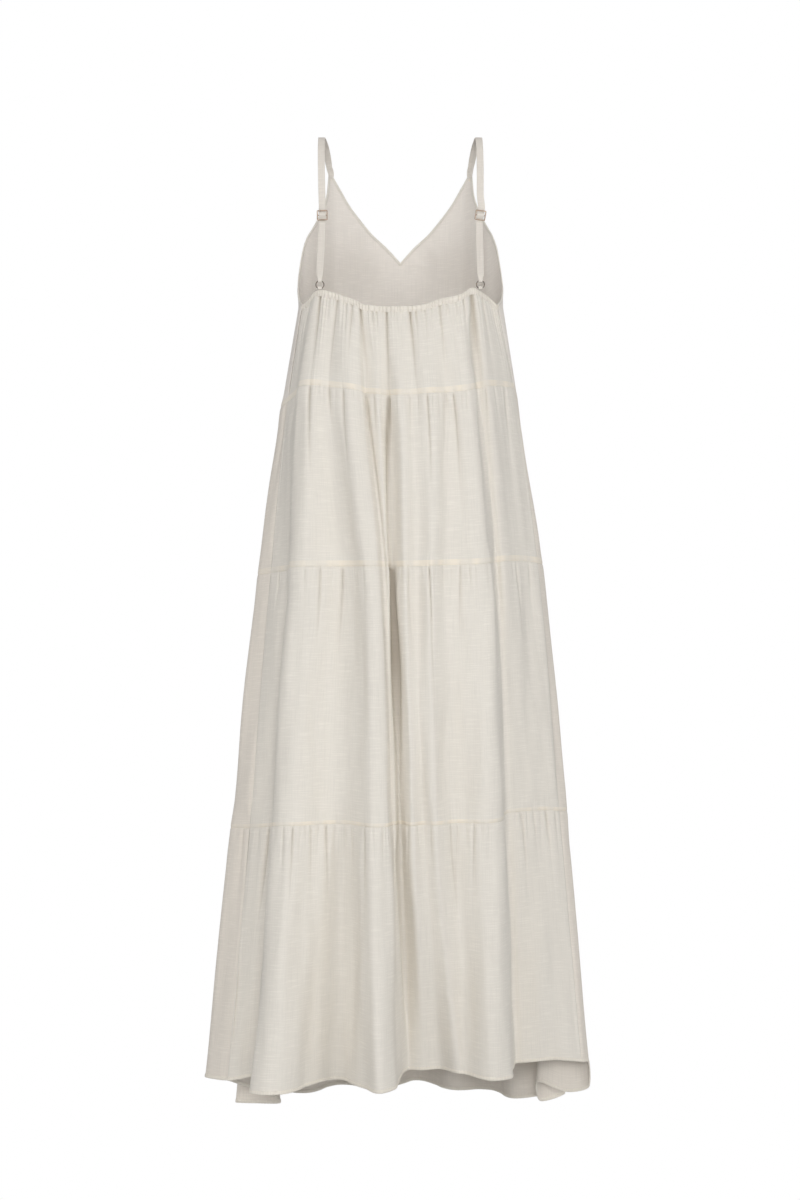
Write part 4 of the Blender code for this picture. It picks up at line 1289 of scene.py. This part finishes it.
def makeTab(label):
    ringAt = middleOf(f"ring_{label.lower()}")
    rows = np.array([(0.0, away, up) for away, up, _ in straps["tabTurn"]])
    run = runAlong(rows)
    line = smoothLine(np.linspace(0, run[-1], 40), run, rows) * mm + ringAt
    across = np.tile([1.0, 0, 0], (len(line), 1))
    ahead = unit(np.gradient(line, axis=0))
    outs = unit(np.cross(ahead, across))
    widths = np.full(len(line), straps["tabWidth"])
    depths = np.full(len(line), straps["thickness"])
    finish = ("strap_cloth", strapCloth, 0.4)
    piece = sweep(f"ringTab{label}", line, across, outs, widths, depths, roundSection(14, 0.5), *finish)
    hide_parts(f"ring_tab_{label.lower()}")


for side, label in enumerate(("Left", "Right")):
    makeStrap(side, label)
    makeTab(label)
print("straps ready")

# Metal slider and ring, modelled once for each side at their places
sliderSizes = {
    "width": 0.015,
    "height": 0.0144,
    "bar": 0.0017,
    "depth": 0.0014,
    "corner": 0.0018,
    "round": 0.00055,
    "bow": 0.00022,
}
ringSizes = {"outer": 0.0125, "wire": 0.0015}


def selectFaces(piece, test):
    bpy.ops.mesh.select_all(action="DESELECT")
    bpy.ops.object.mode_set(mode="OBJECT")
    for face in piece.data.polygons:
        face.select = test(face)
    bpy.ops.object.mode_set(mode="EDIT")


def makeSlider(label):
    place = middleOf(f"slider_{label.lower()}")
    tilt = math.radians(straps["tilt"][0 if label == "Left" else 1])
    size = sliderSizes
    bpy.ops.object.select_all(action="DESELECT")
    bpy.ops.mesh.primitive_cube_add(size=1.0, location=(0, 0, 0))
    piece = bpy.context.object
    piece.name = f"slider{label}"
    piece.scale = (size["width"], size["depth"], size["height"])
    bpy.ops.object.transform_apply(location=False, rotation=False, scale=True)
    bpy.ops.object.mode_set(mode="EDIT")
    bpy.ops.mesh.select_mode(type="EDGE")
    bpy.ops.mesh.select_all(action="DESELECT")
    bpy.ops.object.mode_set(mode="OBJECT")
    verts = piece.data.vertices
    for edge in piece.data.edges:
        a, b = (verts[i].co for i in edge.vertices)
        edge.select = abs(a.y - b.y) > size["depth"] / 2
    bpy.ops.object.mode_set(mode="EDIT")
    bpy.ops.mesh.bevel(offset=size["corner"], segments=5, affect="EDGES")
    bpy.ops.mesh.select_mode(type="FACE")
    selectFaces(piece, lambda face: abs(face.normal.y) > 0.9)
    bpy.ops.mesh.inset(thickness=size["bar"], depth=0)
    bpy.ops.mesh.bridge_edge_loops()
    bpy.ops.object.mode_set(mode="OBJECT")
    bpy.ops.object.select_all(action="DESELECT")
    bpy.ops.mesh.primitive_cube_add(size=1.0, location=(0, 0, 0))
    bar = bpy.context.object
    bar.scale = (size["width"] - size["bar"] * 1.1, size["depth"] * 0.96, size["bar"] * 0.94)
    bpy.ops.object.transform_apply(location=False, rotation=False, scale=True)
    for part in (piece, bar):
        bevel = part.modifiers.new("roundEdges", "BEVEL")
        bevel.width = size["round"]
        bevel.segments = 4
        bevel.limit_method = "ANGLE"
        bpy.ops.object.select_all(action="DESELECT")
        bpy.context.view_layer.objects.active = part
        part.select_set(True)
        bpy.ops.object.modifier_apply(modifier=bevel.name)
    piece.select_set(True)
    bpy.context.view_layer.objects.active = piece
    bpy.ops.object.join()
    # the bars bow a little, as on a cast slider
    for vert in piece.data.vertices:
        vert.co.z += size["bow"] * math.sin(vert.co.x / size["width"] * 2 * math.pi)
    piece.rotation_euler = (0, tilt, 0)
    piece.location = place
    bpy.ops.object.transform_apply(location=True, rotation=True, scale=False)
    finishMetal(piece, f"slider_{label.lower()}", lightGold)


def finishMetal(piece, node, metal):
    bpy.ops.object.shade_smooth_by_angle(angle=math.radians(35))
    piece.data.materials.clear()
    piece.data.materials.append(metal)
    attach(piece, "root")
    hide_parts(node)
    faceOutwards(piece)


def makeRing(label):
    place = middleOf(f"ring_{label.lower()}")
    bpy.ops.object.select_all(action="DESELECT")
    bpy.ops.mesh.primitive_torus_add(
        major_radius=(ringSizes["outer"] - ringSizes["wire"]) / 2, minor_radius=ringSizes["wire"] / 2,
        major_segments=72, minor_segments=18, rotation=(math.radians(90), 0, 0),
    )
    piece = bpy.context.object
    piece.name = f"ring{label}"
    bpy.ops.object.transform_apply(location=False, rotation=True, scale=False)
    piece.location = place
    bpy.ops.object.transform_apply(location=True, rotation=False, scale=False)
    finishMetal(piece, f"ring_{label.lower()}", ringMetalPaintedShade)


for label in ("Left", "Right"):
    makeSlider(label)
    makeRing(label)
print("metal ready")

# Floor, light and camera
studio = {
    "floorDrop": 0.17,
    "floorSize": 30.0,
    "floorLight": 0.34,
    "skyFront": 0.47,
    "skyBehind": 0.44,
    "cameraDistance": 2.8,
    "cameraHeight": -0.657,
    "frameHeight": 1200 * 0.00142,
    "lights": (  # name, place, what it is aimed at, size across and up, power
        ("lowLight", (0.3, -2.4, -1.75), (0, 0, -1.15), (1.2, 0.5), 3.5),
        ("leftLight", (-2.3, -2.2, -0.75), (0, 0, -0.85), (0.8, 1.7), 12.0),
        ("keyLight", (0.05, -4.0, 0.0), (0, 0, -1.0), (0.8, 0.9), 50.5),
        ("fillLight", (2.3, -2.2, -0.75), (0, 0, -0.85), (0.8, 1.7), 19.0),
        ("rearLight", (0.2, 3.2, 0.1), (0, 0, -0.7), (2.4, 1.6), 44.0),
        ("topLight", (0.1, -0.28, 1.1), (0, 0.12, -0.25), (1.0, 0.6), 1.5),
    ),
}


def makeFloor():
    bpy.ops.object.select_all(action="DESELECT")
    height = cadBox[0][2] - studio["floorDrop"]
    bpy.ops.mesh.primitive_plane_add(size=studio["floorSize"], location=(0, 0, height))
    floor = bpy.context.object
    floor.name = "floor"
    material, nodes, links, shader = newMaterial("paleFloor")
    shader.inputs["Base Color"].default_value = (0.0, 0.0, 0.0, 1.0)
    shader.inputs["Specular IOR Level"].default_value = 0.0
    shader.inputs["Emission Color"].default_value = (1.0, 1.0, 1.0, 1.0)
    path = nodes.new("ShaderNodeLightPath")
    glow = nodes.new("ShaderNodeMapRange")
    glow.inputs["To Min"].default_value = studio["floorLight"]
    links.new(path.outputs["Is Camera Ray"], glow.inputs["Value"])
    links.new(glow.outputs[0], shader.inputs["Emission Strength"])
    floor.data.materials.append(material)


def makeWorld():
    # white to the camera; as a light it is softer from the camera's side and greyer low down
    world = bpy.data.worlds.new("studioWhite")
    bpy.context.scene.world = world
    world.use_nodes = True
    nodes, links = world.node_tree.nodes, world.node_tree.links
    nodes.clear()
    output = nodes.new("ShaderNodeOutputWorld")
    white = nodes.new("ShaderNodeBackground")
    white.inputs["Color"].default_value = (1, 1, 1, 1)
    white.inputs["Strength"].default_value = 1.0
    light = nodes.new("ShaderNodeBackground")
    place = nodes.new("ShaderNodeTexCoord")
    split = nodes.new("ShaderNodeSeparateXYZ")
    links.new(place.outputs["Generated"], split.inputs[0])
    sides = nodes.new("ShaderNodeMapRange")
    sides.inputs["From Min"].default_value = -0.3
    sides.inputs["From Max"].default_value = 0.5
    sides.inputs["To Min"].default_value = studio["skyFront"]
    sides.inputs["To Max"].default_value = studio["skyBehind"]
    links.new(split.outputs["Y"], sides.inputs["Value"])
    links.new(sides.outputs[0], light.inputs["Strength"])
    light.inputs["Color"].default_value = (1, 1, 1, 1)
    path = nodes.new("ShaderNodeLightPath")
    mix = nodes.new("ShaderNodeMixShader")
    links.new(path.outputs["Is Camera Ray"], mix.inputs[0])
    links.new(light.outputs[0], mix.inputs[1])
    links.new(white.outputs[0], mix.inputs[2])
    links.new(mix.outputs[0], output.inputs[0])


def makeLight(name, place, aim, size, power):
    data = bpy.data.lights.new(name, "AREA")
    data.shape = "RECTANGLE"
    data.size, data.size_y = size
    data.energy = power
    lamp = bpy.data.objects.new(name, data)
    bpy.context.scene.collection.objects.link(lamp)
    lamp.location = place
    direction = np.array(aim) - np.array(place)
    yaw = math.atan2(direction[0], direction[1])
    pitch = math.atan2(direction[2], math.hypot(direction[0], direction[1]))
    lamp.rotation_euler = (math.radians(90) + pitch, 0, -yaw)


def makeCamera():
    data = bpy.data.cameras.new("photoCamera")
    data.sensor_fit = "VERTICAL"
    data.sensor_height = 36.0
    data.lens = 36.0 * studio["cameraDistance"] / studio["frameHeight"]
    camera = bpy.data.objects.new("photoCamera", data)
    bpy.context.scene.collection.objects.link(camera)
    camera.location = (0, -studio["cameraDistance"], studio["cameraHeight"])
    camera.rotation_euler = (math.radians(90), 0, 0)
    bpy.context.scene.camera = camera


makeFloor()
makeWorld()
for row in studio["lights"]:
    makeLight(*row)
makeCamera()
bpy.context.scene.view_settings.view_transform = "Standard"
print("studio ready")
